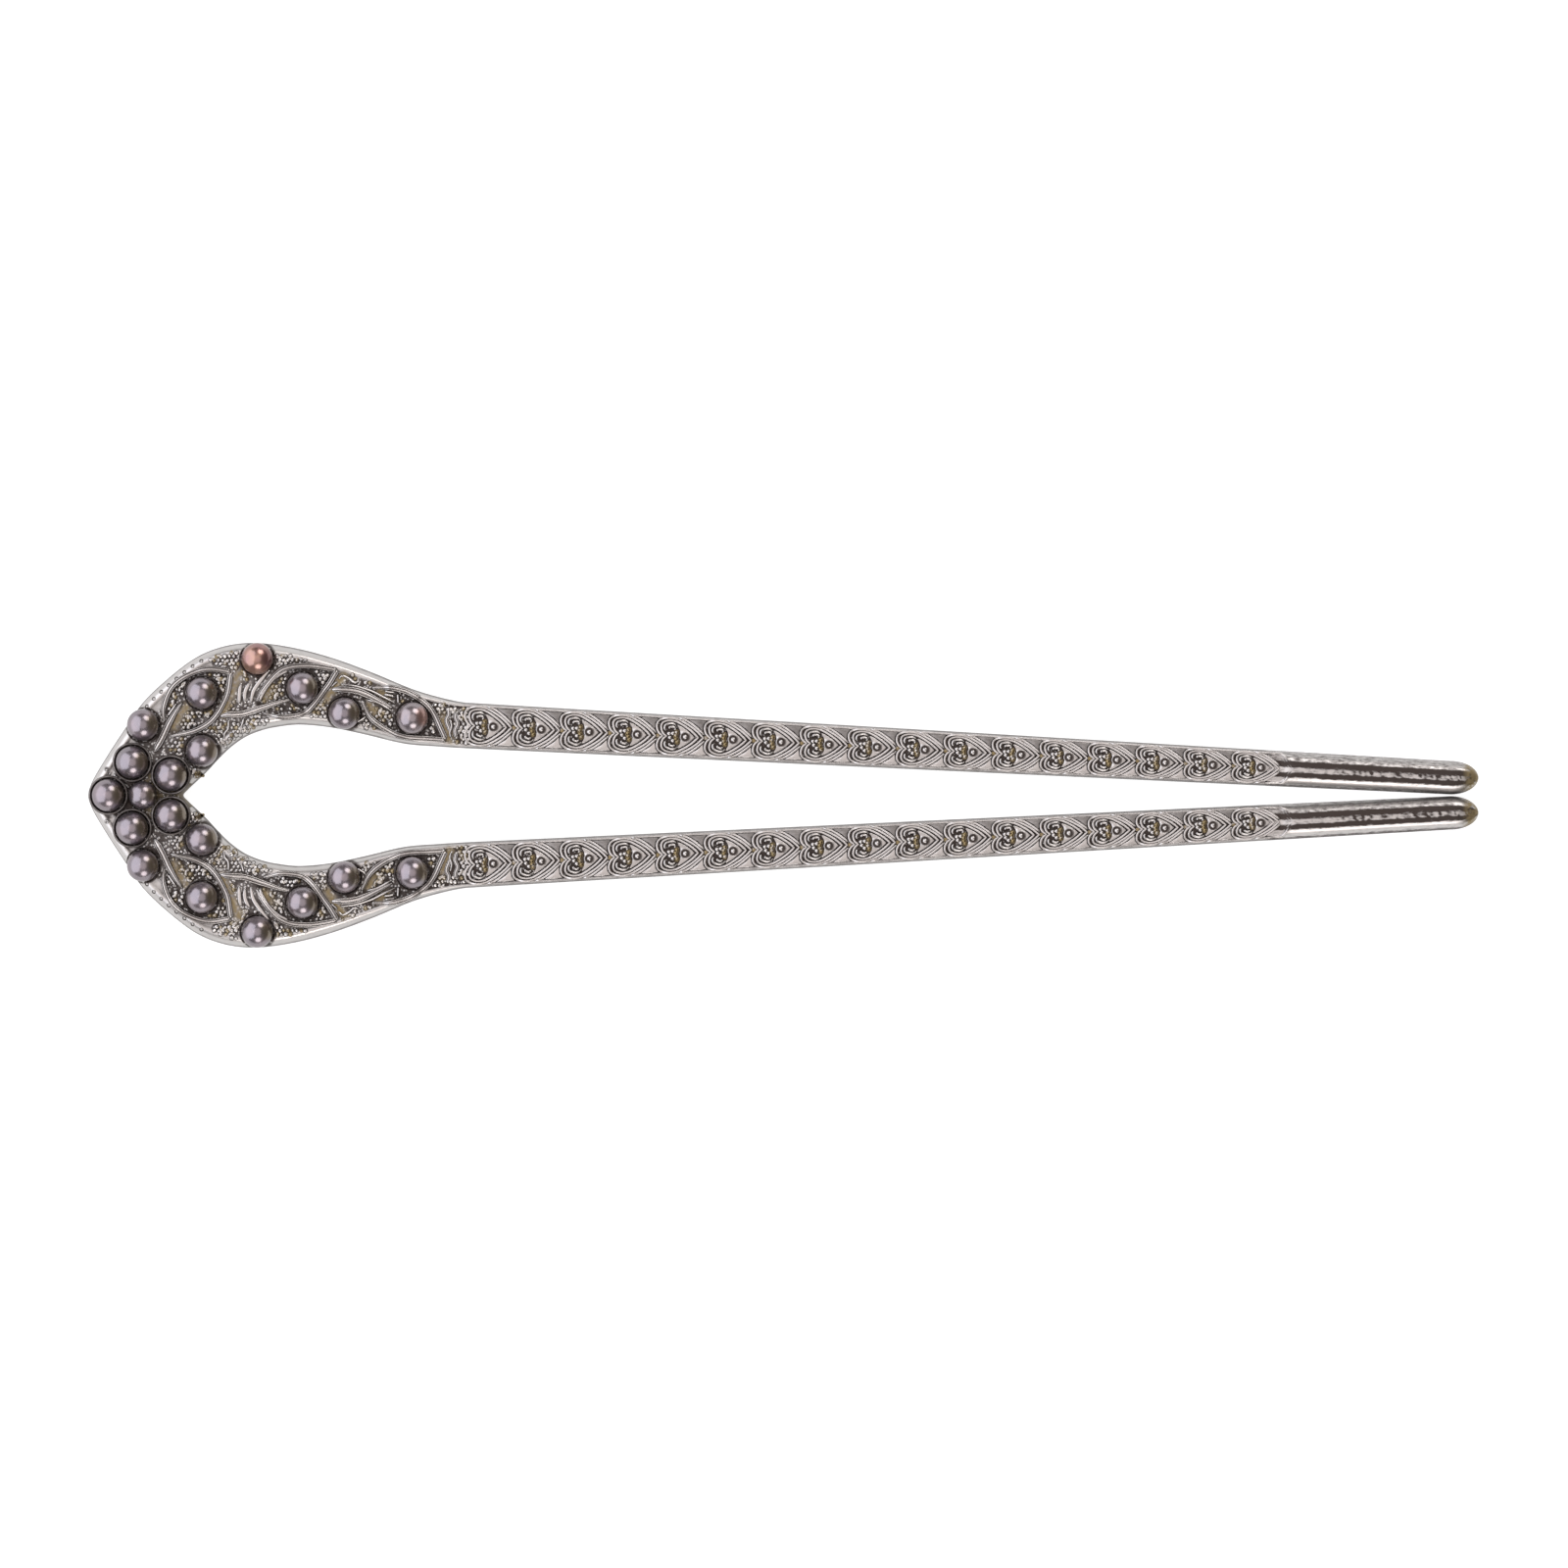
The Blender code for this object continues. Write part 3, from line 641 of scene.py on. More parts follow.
def silver_patina_group():
    """Plated metal that is bright where it is rubbed, dark in its hollows and olive in patches. Its patina
    input also carries painted shade and painted reflection.
    """
    group, given, result = new_group(
        "Silver patina",
        [
            ("Patina", NUMBER, 0),
            ("Olive", NUMBER, 0),
            ("Bright", COLOUR, (0.57, 0.55, 0.535, 1)),
            ("Dark", COLOUR, (0.05, 0.038, 0.033, 1)),
            ("Olive tone", COLOUR, (0.25, 0.195, 0.105, 1)),
            ("Blotch size", NUMBER, 0.001),
            ("Blotch strength", NUMBER, 0.3),
            ("Grain size", NUMBER, 0.0004),
            ("Grain", NUMBER, 0.0),
            ("Scratches", NUMBER, 0.0),
            ("Polish", NUMBER, 0.18),
            ("Dullness", NUMBER, 0.5),
        ],
        [("Color", COLOUR), ("Roughness", NUMBER), ("Metallic", NUMBER), ("Height", NUMBER)],
    )
    place = put(group, "ShaderNodeTexCoord").outputs["Object"]
    forward = put(group, "ShaderNodeSeparateXYZ", {"Vector": place}).outputs["X"]
    body = maths(group, "LESS_THAN", forward, BANDED_TIP_X)
    facing = put(group, "ShaderNodeNewGeometry").outputs["Normal"]
    upward = put(group, "ShaderNodeSeparateXYZ", {"Vector": facing}).outputs["Z"]

    # The patina is blotched, and scratched most on the tips.
    blotch = cloudy(group, place, maths(group, "DIVIDE", 1.0, given["Blotch size"]), detail=4.0)
    uneven = maths(group, "SUBTRACT", blotch, 0.5)
    worn = maths(group, "MULTIPLY_ADD", uneven, given["Blotch strength"], given["Patina"])
    drawn_out = put(group, "ShaderNodeMapping", {"Vector": place, "Scale": SCRATCH_STRETCH}).outputs[0]
    streaked = cloudy(group, drawn_out, SCRATCHES_IN_METRE, detail=3.0, roughness=0.65)
    scratch = maths(group, "SUBTRACT", streaked, 0.5)
    amount = ranged(group, body, 0.0, 1.0, given["Scratches"], BODY_SCRATCHES)
    worn = maths(group, "MULTIPLY_ADD", scratch, amount, worn)

    # Grains stand up bright from the ground where it is level and dark.
    scale = maths(group, "DIVIDE", 1.0, given["Grain size"])
    cell = put(group, "ShaderNodeTexVoronoi", {"Vector": place, "Scale": scale}).outputs["Distance"]
    mound = ranged(group, cell, GRAIN_CORE, GRAIN_EDGE, given["Grain"], 0.0, "SMOOTHSTEP")
    in_dark = ranged(group, given["Patina"], *GRAIN_PATINA)
    on_level = ranged(group, upward, *GRAIN_LEVEL)
    for share in (in_dark, body, on_level):
        mound = maths(group, "MULTIPLY", mound, share)
    dark = ranged(group, maths(group, "SUBTRACT", worn, mound), 0.0, 1.0, easing="SMOOTHSTEP")

    tone = blended(group, dark, given["Bright"], given["Dark"])
    patch = ranged(group, cloudy(group, place, PATCHES_IN_METRE), *OLIVE_PATCHES)
    tone = blended(group, maths(group, "MULTIPLY", patch, given["Olive"]), tone, given["Olive tone"])
    fine = cloudy(group, place, FINE_IN_METRE, detail=3.0)
    dull = ranged(group, dark, 0.0, 1.0, given["Polish"], given["Dullness"])
    dull = maths(group, "MULTIPLY_ADD", fine, FINE_DULLNESS, dull)
    metal = ranged(group, dark, 0.0, 1.0, 1.0, DARK_METAL)
    height = maths(group, "MULTIPLY_ADD", mound, GRAIN_RELIEF, maths(group, "ADD", fine, blotch))
    for label, value in (("Color", tone), ("Roughness", dull), ("Metallic", metal), ("Height", height)):
        group.links.new(value, result[label])
    return group


silver_patina = silver_patina_group()


def silver(name, bump, **values):
    """A metal material of this fork, with its own values for the patina."""
    material, tree, shader = new_material(name)
    finish = put(tree, "ShaderNodeGroup", node_tree=silver_patina)
    for label in ("patina", "olive"):
        here = put(tree, "ShaderNodeAttribute", attribute_name=label).outputs["Fac"]
        tree.links.new(here, finish.inputs[label.capitalize()])
    for label, value in values.items():
        finish.inputs[label.replace("_", " ")].default_value = value
    for label, socket in (("Color", "Base Color"), ("Roughness", "Roughness"), ("Metallic", "Metallic")):
        tree.links.new(finish.outputs[label], shader.inputs[socket])
    height = finish.outputs["Height"]
    relief = put(tree, "ShaderNodeBump", {"Strength": 1.0, "Distance": bump, "Height": height})
    tree.links.new(relief.outputs["Normal"], shader.inputs["Normal"])
    return material


def both_prongs(right, left):
    """Values of the two halves for the whole casting, from the right tip round to the left one."""
    return np.concatenate([right.reshape(columns, rows)[:0:-1], left.reshape(columns, rows)])


casting_shell = Shell()
whole_face = np.concatenate([half_face[:0:-1] * (1, -1, 1), half_face])
casting_patina_and_shade = both_prongs(right_patina_and_shade, left_patina_and_shade)
casting_shell.add(whole_face, casting_patina_and_shade, both_prongs(olive, olive), caps=False)
casting_silver = silver(
    "Antique silver", bump=0.000006, Blotch_strength=0.5, Grain=0.85, Scratches=1.9, Polish=0.3
)
casting = casting_shell.piece("fork_casting", casting_silver, sharp=60)
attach(casting, "root")
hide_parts("fork")

# The flower's cups
# Five thin-walled round cups are cast round the centre pearl, each deep enough to hold the lower half
# of a petal pearl. The top of the wall is rounded over.

CUP_WALL = 0.00030
CUP_SEAT = 0.00012
CUP_TOP = 0.0036
CUP_FOOT = 0.0009
CUP_BASIN = 0.0009
CUP_BASIN_MIDDLE = 0.0004
CUP_STRAIGHT = 0.0005
CUP_SEGMENTS = 72
LIP_TURNS = (0, 30, 60, 90, 120, 150, 180)
# Patina down the cup's inside, over its lip and down its outside. The lip is kept dark with painted shade,
# like the shade round the petal pearls.
CUP_PATINA_AND_SHADE = (1, 1, 0.98, 0.94, 0.86, 0.66, 0.70, 0.86, 0.94, 0.96, 0.6)

cup_shell = Shell()


def turned(shell, centre, profile, patina):
    """A ring turned round an upright line through centre, from a closed profile of (radius, height)."""
    radius, height = np.array(profile).T
    angle = np.linspace(0, 2 * math.pi, CUP_SEGMENTS, endpoint=False)[:, None]
    x, y = centre[0] + radius * np.cos(angle), centre[1] + radius * np.sin(angle)
    shell.add(np.stack([x, y, np.broadcast_to(height, x.shape)], 2), patina, ring=True)


petals = [node for node in pearls if node.startswith("pearl_petal_")]
for node in petals:
    centre, radius = pearls[node]
    inner = radius + CUP_SEAT
    lip = CUP_WALL / 2
    profile = [(inner / 2, CUP_FOOT + CUP_BASIN_MIDDLE), (inner, CUP_FOOT + CUP_BASIN)]
    profile += [
        (inner + lip - lip * math.cos(turn), CUP_TOP - lip + lip * math.sin(turn))
        for turn in np.radians(LIP_TURNS)
    ]
    profile += [(inner + CUP_WALL, CUP_TOP - CUP_STRAIGHT), (inner + CUP_WALL, CUP_FOOT)]
    # The cup takes patina, with painted shade on its lip.
    turned(cup_shell, centre, profile, CUP_PATINA_AND_SHADE)

cup_silver = silver("Cup silver", bump=0.000004, Blotch_strength=0.5)
cups = cup_shell.piece("flower_cups", cup_silver, sharp=60)
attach(cups, "root")
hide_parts("fork")

# The raised lines
# Leaf edges, veins and stems stand up from the ground as cast ridges. The wide ones are doubled: two
# bright lines with a shallow groove between them.

LEAF_RIDGE = 0.00074
STEM_RIDGE = 0.00092
RIDGE_RELIEF = 0.00042
RIDGE_SINK = 0.00040
# How much of its size a ridge still has where it ends.
RIDGE_END = 0.04


def both_sides(half):
    """A whole profile from its half that ends beside the middle line."""
    return half + tuple((-side, up, shade) for side, up, shade in reversed(half))


# Across a ridge: how far to the side, how high (below 0 is the foot, under the ground), and patina.
DOUBLE_LINE = both_sides(
    (
        (-1.00, -1.00, 1.00), (-0.99, 0.04, 1.00), (-0.88, 0.07, 1.00), (-0.83, 0.62, 0.35),
        (-0.72, 1.00, 0.00), (-0.60, 0.92, 0.05), (-0.53, 0.52, 0.95), (-0.43, 0.48, 0.75),
        (-0.34, 0.66, 0.12), (-0.08, 0.74, 0.04),
    )
)
SINGLE_LINE = both_sides(
    (
        (-1.00, -1.00, 1.00), (-0.98, 0.04, 1.00), (-0.80, 0.08, 0.95), (-0.70, 0.55, 0.35),
        (-0.48, 0.87, 0.05), (-0.16, 1.00, 0.00),
    )
)
FLAT_LINE = both_sides(
    (
        (-1.00, -1.00, 1.00), (-0.98, 0.10, 1.00), (-0.86, 0.55, 0.70), (-0.72, 0.90, 0.15),
        (-0.50, 1.00, 0.00), (-0.15, 0.97, 0.06),
    )
)
# The collar is dark all over: patina in the crevice round the pearl, and painted shade on its top, so that
# it reads as the shade round the pearl.
SEAT_LINE = both_sides(
    ((-1.00, -1.00, 1.00), (-0.92, 0.10, 1.00), (-0.62, 0.75, 0.97), (-0.20, 1.00, 0.86))
)


def run_of(line):
    """How far along a line each of its points lies."""
    return np.concatenate([[0], np.cumsum(np.linalg.norm(np.diff(line, axis=0), axis=1))])


def ridge(shell, line, width, relief, profile, ends=(0.1, 0.1), closed=False, olive=0, base=None):
    """A raised line along a line of the plan. ends are the shares of its length over which it
    swells up from nothing at its start and dies away at its end."""
    side, up, shade = np.array(profile).T
    ahead = np.roll(line, -1, 0) - np.roll(line, 1, 0) if closed else np.gradient(line, axis=0)
    ahead /= np.linalg.norm(ahead, axis=1)[:, None]
    aside = np.stack([-ahead[:, 1], ahead[:, 0]], 1)
    swell = np.ones(len(line))
    if not closed:
        run = run_of(line)
        run /= run[-1]
        swell = np.minimum(swell, run / max(ends[0], 1e-6))
        swell = np.minimum(swell, (1 - run) / max(ends[1], 1e-6))
        swell = mix(RIDGE_END, 1, np.sqrt(np.clip(swell, 0, 1)))
    ground = under(line)[0] if base is None else np.full(len(line), base)
    grid = np.empty((len(line), len(side), 3))
    reach = (width / 2 * swell)[:, None] * side
    grid[:, :, :2] = line[:, None] + aside[:, None] * reach[:, :, None]
    lift = np.where(up < 0, up * RIDGE_SINK, up * relief * swell[:, None])
    grid[:, :, 2] = ground[:, None] + lift
    shell.add(grid, shade, olive, ring=closed)


STEMS = (
    ((0.190, 0.58), (0.260, 0.615), (0.350, 0.70)),
    ((0.400, 0.33), (0.470, 0.235), (0.550, 0.245), (0.630, 0.32)),
    ((0.715, 0.55), (0.770, 0.635), (0.830, 0.565)),
)
STEM_POINTS = 48
leaf_shell = Shell()


def raised(lines, width, relief, profile, ends):
    """Adds a ridge along each of the lines on the left half of the band."""
    for line in lines:
        ridge(leaf_shell, line, width, relief, profile, ends)


raised(leaf_outer_lines, LEAF_RIDGE, RIDGE_RELIEF, DOUBLE_LINE, ends=(0.2, 0.02))
raised(leaf_inner_lines, LEAF_RIDGE, RIDGE_RELIEF, DOUBLE_LINE, ends=(0.02, 0.25))
stem_lines = [on_band(places, STEM_POINTS) for places in STEMS]
raised(stem_lines, STEM_RIDGE, RIDGE_RELIEF, DOUBLE_LINE, ends=(0.16, 0.5))

# Fine single lines: veins in the leaves and wavy crests among the granules.
FINE_LINES = (
    ((0.419, 0.25), (0.401, 0.17), (0.382, 0.15), (0.367, 0.10)),
    ((0.468, 0.19), (0.453, 0.14), (0.438, 0.10)),
    ((0.349, 0.18), (0.345, 0.13), (0.342, 0.09)),
    ((0.728, 0.72), (0.735, 0.79), (0.748, 0.78), (0.758, 0.75), (0.768, 0.80)),
    ((0.715, 0.58), (0.721, 0.64), (0.727, 0.69)),
    ((0.731, 0.66), (0.759, 0.70), (0.790, 0.71), (0.815, 0.68), (0.834, 0.66)),
    ((0.784, 0.55), (0.806, 0.56), (0.830, 0.51)),
    ((0.834, 0.84), (0.836, 0.76), (0.838, 0.66)),
    ((0.812, 0.79), (0.821, 0.81), (0.831, 0.84)),
    ((0.812, 0.73), (0.822, 0.75), (0.831, 0.76)),
    ((0.771, 0.15), (0.780, 0.22), (0.789, 0.29)),
    ((0.297, 0.70), (0.316, 0.71), (0.337, 0.73)),
    ((0.958, 0.60), (0.963, 0.45), (0.959, 0.30), (0.966, 0.15)),
)
# The fan of broad blades at the foot of the second leaf.
BLADES = (
    ((0.508, 0.30), (0.530, 0.43), (0.558, 0.54), (0.590, 0.68)),
    ((0.540, 0.31), (0.568, 0.45), (0.601, 0.60), (0.630, 0.69)),
    ((0.492, 0.33), (0.506, 0.45), (0.532, 0.55)),
    ((0.472, 0.33), (0.489, 0.46), (0.506, 0.56)),
)
BLADE = 0.00056
# Wavy ribbons across the band just before the first heart.
RIBBONS = (
    ((0.948, 0.84), (0.954, 0.70), (0.948, 0.56), (0.955, 0.42), (0.958, 0.33)),
    ((0.978, 0.80), (0.972, 0.66), (0.979, 0.52), (0.972, 0.36), (0.978, 0.18)),
)
RIBBON = 0.00055
FINE_LINE = 0.00036
FINE_RELIEF = 0.00024
FINE_POINTS = 26
RIBBON_POINTS = 30
fine_lines = [on_band(places, FINE_POINTS) for places in FINE_LINES]
raised(fine_lines, FINE_LINE, FINE_RELIEF, SINGLE_LINE, ends=(0.2, 0.2))
blade_lines = [on_band(places, FINE_POINTS) for places in BLADES]
raised(blade_lines, BLADE, FINE_RELIEF, FLAT_LINE, ends=(0.3, 0.3))
ribbon_lines = [on_band(places, RIBBON_POINTS) for places in RIBBONS]
raised(ribbon_lines, RIBBON, FINE_RELIEF, DOUBLE_LINE, ends=(0.1, 0.1))
leaf_shell.mirror()
rubbed_silver = silver("Rubbed silver", bump=0.000003, Blotch_strength=0.2, Polish=0.12)
leaves = leaf_shell.piece("leaf_ridges", rubbed_silver)
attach(leaves, "root")
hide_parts("fork")

# The pearl seats
# A low thin-walled collar, part of the same casting, stands round each pearl that is set in the band.
# Where the pearl hangs over the band's edge, the collar is open.

SEAT_WALL = 0.00018
SEAT_LIP = 0.00010
SEAT_OVERLAP = 0.00004
SEAT_EDGE = 0.00035
SEAT_POINTS = 84


def round_line(middle, radius, count):
    """A circle in the plan, as a closed line."""
    angle = np.linspace(0, 2 * math.pi, count, endpoint=False)
    return middle + radius * np.stack([np.cos(angle), np.sin(angle)], 1)


seat_shell = Shell()
side_pearls = [node for node in pearls if node.endswith(("_left", "_right"))]
for node in side_pearls:
    centre, radius = pearls[node]
    reach = radius + SEAT_CLEARANCE + SEAT_WALL / 2 - SEAT_OVERLAP
    circle = round_line(centre[:2], reach, SEAT_POINTS)
    _, column, row = under(circle)
    stands = (column >= 0) & (band_inward[column, row] > SEAT_EDGE)
    # The collars take the dark seat profile: patina with painted shade.
    if stands.all():
        ridge(seat_shell, circle, SEAT_WALL, SEAT_LIP, SEAT_LINE, closed=True)
    else:
        first = np.flatnonzero(stands & ~np.roll(stands, 1))[0]
        circle = np.roll(circle, -first, 0)[: stands.sum()]
        ridge(seat_shell, circle, SEAT_WALL, SEAT_LIP, SEAT_LINE, ends=(0.05, 0.05))

collar_silver = silver("Collar silver", bump=0.000003, Blotch_strength=0.6)
seats = seat_shell.piece("pearl_seats", collar_silver)
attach(seats, "root")
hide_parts("fork")

# The hearts
# A row of hearts is cast down each prong, all pointing to its tip and all alike on both prongs. Each
# has nested outlines, scrolls and beads in its lobes, and a boss with a ring near its point. Between
# two hearts a sloping triangle is let in beside each edge of the prong.

HEART_PITCH = 0.00587
HEART_LINE = 0.00031
HEART_RELIEF = 0.00026
SCROLL_LINE = 0.00042
SCROLL_RELIEF = 0.00034
BEAD_RADIUS = 0.00027
BOSS_RADIUS = 0.00030
BOSS_RISE = 0.00024
BOSS_SHADE = 0.12
BOSS_PLACE = 0.59
BOSS_RING = 0.00050
BOSS_RING_POINTS = 20
BOSS_RING_WIDTH = 0.00032
BOSS_RING_RELIEF = 0.00006
PLATE_LIFT = 0.00010
PLATE_SHADE = 0.22
PLATE_CHAMFER = 0.00005
TRIANGLE_SLOPE = 0.00022
# Painted shade: the sloping triangles along the left edge of each prong are darker than those along the
# right, as the light falls on them.
LEFT_TRIANGLE_PAINTED_SHADE = 0.58
RIGHT_TRIANGLE = 0.0
SQUARE_SHADE = 0.3
OUTLINE_POINTS = 26
LINE_POINTS = 14

# Half outlines from the cleft to the point, in shares of the pitch along the prong and of half the
# prong's width across it.
HEART_OUTER = (
    (0.115, 0.00), (0.035, 0.17), (0.00, 0.42), (0.03, 0.66), (0.13, 0.80), (0.28, 0.855), (0.44, 0.80),
    (0.60, 0.64), (0.76, 0.42), (0.88, 0.20), (0.965, 0.00),
)
HEART_SECOND = (
    (0.195, 0.00), (0.125, 0.15), (0.09, 0.40), (0.115, 0.59), (0.19, 0.70), (0.30, 0.74), (0.43, 0.68),
    (0.57, 0.52), (0.70, 0.33), (0.79, 0.16), (0.86, 0.00),
)
HEART_FLANK = ((0.46, 0.875), (0.64, 0.74), (0.78, 0.54), (0.90, 0.32), (1.00, 0.13))
HEART_PLATE = (
    (0.50, 0.00), (0.49, 0.20), (0.47, 0.39), (0.43, 0.52), (0.46, 0.53), (0.54, 0.445), (0.62, 0.335),
    (0.71, 0.175), (0.79, 0.00),
)
OLIVE_SQUARE = ((0.985, 0.085), (1.065, 0.10), (1.065, -0.10), (0.985, -0.085))
TRIANGLE = (
    (0.665, 0.81), (0.80, 0.815), (1.035, 0.80), (0.975, 0.60), (0.965, 0.42), (0.955, 0.30), (0.84, 0.55),
)
SCROLLS = (
    ((0.19, 0.22), (0.16, 0.38), (0.19, 0.53), (0.28, 0.605), (0.37, 0.58), (0.42, 0.48)),
    ((0.25, 0.31), (0.27, 0.42), (0.335, 0.45), (0.385, 0.37), (0.35, 0.27)),
    ((0.18, -0.19), (0.16, -0.37), (0.19, -0.51), (0.28, -0.59), (0.37, -0.57), (0.43, -0.46)),
    ((0.25, -0.29), (0.27, -0.41), (0.335, -0.44), (0.39, -0.36)),
)
BEADS = (
    (0.25, 0.12), (0.27, -0.06), (0.33, 0.14), (0.33, -0.20),
    (0.41, 0.20), (0.39, 0.05), (0.395, -0.10), (0.42, -0.24),
)
OLIVE_BEADS = 4

heart_count = round((SMOOTH_X - ROOT_X) / HEART_PITCH)
heart_length = (SMOOTH_X - ROOT_X) / heart_count


def on_heart(number, side, points):
    """The plan of points of one heart, on the left prong (side 1) or the right one (side -1)."""
    share, aside = np.asarray(points, float).T
    x = ROOT_X + (number + share) * heart_length
    middle, half, _, _ = prong(x)
    return np.stack([x, side * middle + aside * half], 1)


def both_halves(points, count):
    """A closed heart: a smooth half outline from the cleft to the point, and its mirror image."""
    half = curve(points, count)
    return np.vstack([half, half[-2:0:-1] * (1, -1)])


def dome(shell, place, radius, rise, base=None, shade=0, olive=0, sides=10, foot=1.25):
    """A round grain of metal that stands at the height base, or else on the ground round its foot.
    The dark foot is foot times as wide as the grain."""
    # Each ring: its share of the radius, its height above the base, and its patina.
    rings = (
        (foot + 0.05, -RIDGE_SINK, 1.0),
        (foot, 0.05 * rise, 1.0),
        (1.00, 0.08 * rise, 0.9),
        (0.90, 0.55 * rise, 0.3),
        (0.62, 0.88 * rise, 0.0),
        (0.25, rise, 0.0),
    )
    circle = round_line(0, 1, sides)
    if base is None:
        base = under(place + circle * radius)[0]
    grid = np.empty((len(rings), sides, 3))
    for k, (share, lift, _) in enumerate(rings):
        grid[k, :, :2] = place + circle * radius * share
        grid[k, :, 2] = base + lift
    shades = np.array([[max(dark, shade)] * sides for _, _, dark in rings])
    shell.add(grid, shades, olive)


# The dark groove round a boss: a low band that is darkest at its inner side.
RING_LINE = (
    (-1.0, -1.0, 0.5), (-0.9, 0.2, 0.3), (-0.5, 0.9, 0.5),
    (0.2, 0.6, 1.0), (0.9, 0.1, 1.0), (1.0, -1.0, 1.0),
)


def plate(shell, outline, heights, shade, olive=0):
    """A thin flat plate let into the ground, with a small chamfer. heights is its top, point by point."""
    middle = outline.mean(0)
    inset = 1 - PLATE_CHAMFER / np.linalg.norm(outline - middle, axis=1)[:, None]
    grid = np.empty((4, len(outline), 3))
    steps = ((1, -RIDGE_SINK), (1, -PLATE_CHAMFER), (inset, -PLATE_CHAMFER / 4), (inset**2, 0))
    for k, (share, lift) in enumerate(steps):
        grid[k, :, :2] = middle + (outline - middle) * share
        grid[k, :, 2] = heights + lift
    shell.add(grid, np.array([[1.0], [0.9], [shade], [shade]]), olive)


heart_silver = silver("Heart silver", bump=0.000003, Blotch_strength=0.3, Polish=0.24)
for side, label in ((1, "left"), (-1, "right")):
    heart_shell = Shell()
    for number in range(heart_count):
        centre = on_heart(number, side, [(BOSS_PLACE, 0)])
        base = under(centre)[0][0]
        top = base + PLATE_LIFT
        outline = on_heart(number, side, both_halves(HEART_PLATE, LINE_POINTS))
        plate(heart_shell, outline, np.full(len(outline), top), PLATE_SHADE)
        for points in (HEART_OUTER, HEART_SECOND):
            outline = on_heart(number, side, both_halves(points, OUTLINE_POINTS))
            ridge(heart_shell, outline, HEART_LINE, HEART_RELIEF, FLAT_LINE, closed=True)
        # The left triangles take painted shade, the right ones none.
        for mirror, shade in ((1, LEFT_TRIANGLE_PAINTED_SHADE), (-1, RIGHT_TRIANGLE)):
            flank = curve(HEART_FLANK, LINE_POINTS) * (1, mirror)
            ridge(heart_shell, on_heart(number, side, flank), HEART_LINE, HEART_RELIEF, FLAT_LINE)
            if number < heart_count - 1:
                share = np.array(TRIANGLE)
                corners = on_heart(number, side, share * (1, mirror))
                heights = top - TRIANGLE_SLOPE * (share[:, 1] - share[:, 1].min())
                plate(heart_shell, corners, heights, shade)
        for points in SCROLLS:
            line = on_heart(number, side, curve(points, LINE_POINTS))
            ridge(heart_shell, line, SCROLL_LINE, SCROLL_RELIEF, SINGLE_LINE, ends=(0.15, 0.3))
        for count, point in enumerate(BEADS):
            spot = on_heart(number, side, [point])[0]
            tint = 1.0 if count >= len(BEADS) - OLIVE_BEADS else 0.0
            dome(heart_shell, spot, BEAD_RADIUS, SCROLL_RELIEF, base, olive=tint)
        circle = round_line(centre[0], BOSS_RING, BOSS_RING_POINTS)
        ridge(heart_shell, circle, BOSS_RING_WIDTH, BOSS_RING_RELIEF, RING_LINE, closed=True, base=top)
        dome(heart_shell, centre[0], BOSS_RADIUS, BOSS_RISE, top, shade=BOSS_SHADE, sides=16)
        if number < heart_count - 1:
            square = on_heart(number, side, OLIVE_SQUARE)
            plate(heart_shell, square, np.full(len(square), top), SQUARE_SHADE, olive=1)

    hearts = heart_shell.piece("heart_relief_" + label, heart_silver, sharp=50)
    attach(hearts, "root")
    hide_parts("fork")

# The granules
# Hundreds of small cast grains fill the ground of the head between the leaves. They are cast with it,
# uneven in size and rubbed bright on top. Beside the first leaf they thin out to a single row.

GRANULE_PITCH = 0.00053
GRANULE_JITTER = 0.00007
GRANULE_RADII = (0.00020, 0.00030)
SMALL_ONES = 1.4
GRANULE_RISE = 0.75
# How far the grains keep from the edges, from place to place along the band.
OUTER_LIMIT = ((0.5, 0.8, 1.0), (0.00095, 0.00110, 0.00050))
INNER_LIMIT = ((0.5, 0.6, 0.85, 1.0), (0.00050, 0.00100, 0.00100, 0.00050))
# How much of its own radius a grain keeps from a raised line and from a pearl's seat.
FROM_LINE = 0.75
FROM_SEAT = 0.8
FROM_OLIVE = OLIVE_REACH * 0.8
FROM_FLOWER = flower_radius + 0.0022
BAND_PEARL_RADIUS = 0.00195
SEAT_ROOM = BAND_PEARL_RADIUS + SEAT_CLEARANCE + SEAT_WALL / 2
# The shares of the leaves' places that hold a grain, and of the grains that are stained olive.
LEAF_GRANULES = 0.85
OLIVE_GRANULES = 0.25
STAIN = 0.9
# Some neighbours are joined by a short bent crest.
CRESTS = 0.30
CREST_POINTS = 7
CREST_BEND = 0.25
CREST_WIDTH = 1.9
CREST_STAIN = 0.3
CREST_REACH = GRANULE_PITCH * 1.5
# The single row of dots beside the first leaf.
ROW_PITCH = 0.00124
ROW_START = 0.285
ROW_END = 0.47
ROW_STEPS = 400
ROW_INWARD = 0.00080
ROW_RADIUS = 0.00016
ROW_RISE = 0.00016
ROW_FOOT = 1.7
# A broken-off bit of casting stands on each side of the notch: how far back each lump lies, and its size.
NUB_X = -0.0716
NUB_Y = 0.0024
NUB = ((-0.00025, 0.00028), (0.0002, 0.0002), (0.00055, 0.00016))
NUB_SHADE = 0.3

granule_shell = Shell()
raised_lines = [
    (leaf_outer_lines + leaf_inner_lines, LEAF_RIDGE / 2),
    (stem_lines, STEM_RIDGE / 2),
    (fine_lines, FINE_LINE / 2),
    (blade_lines, BLADE / 2),
    (ribbon_lines, RIBBON / 4),
]
pearl_spots = np.array([(centre[0], centre[1]) for centre, _ in pearls.values() if centre[1] > -1e-6])


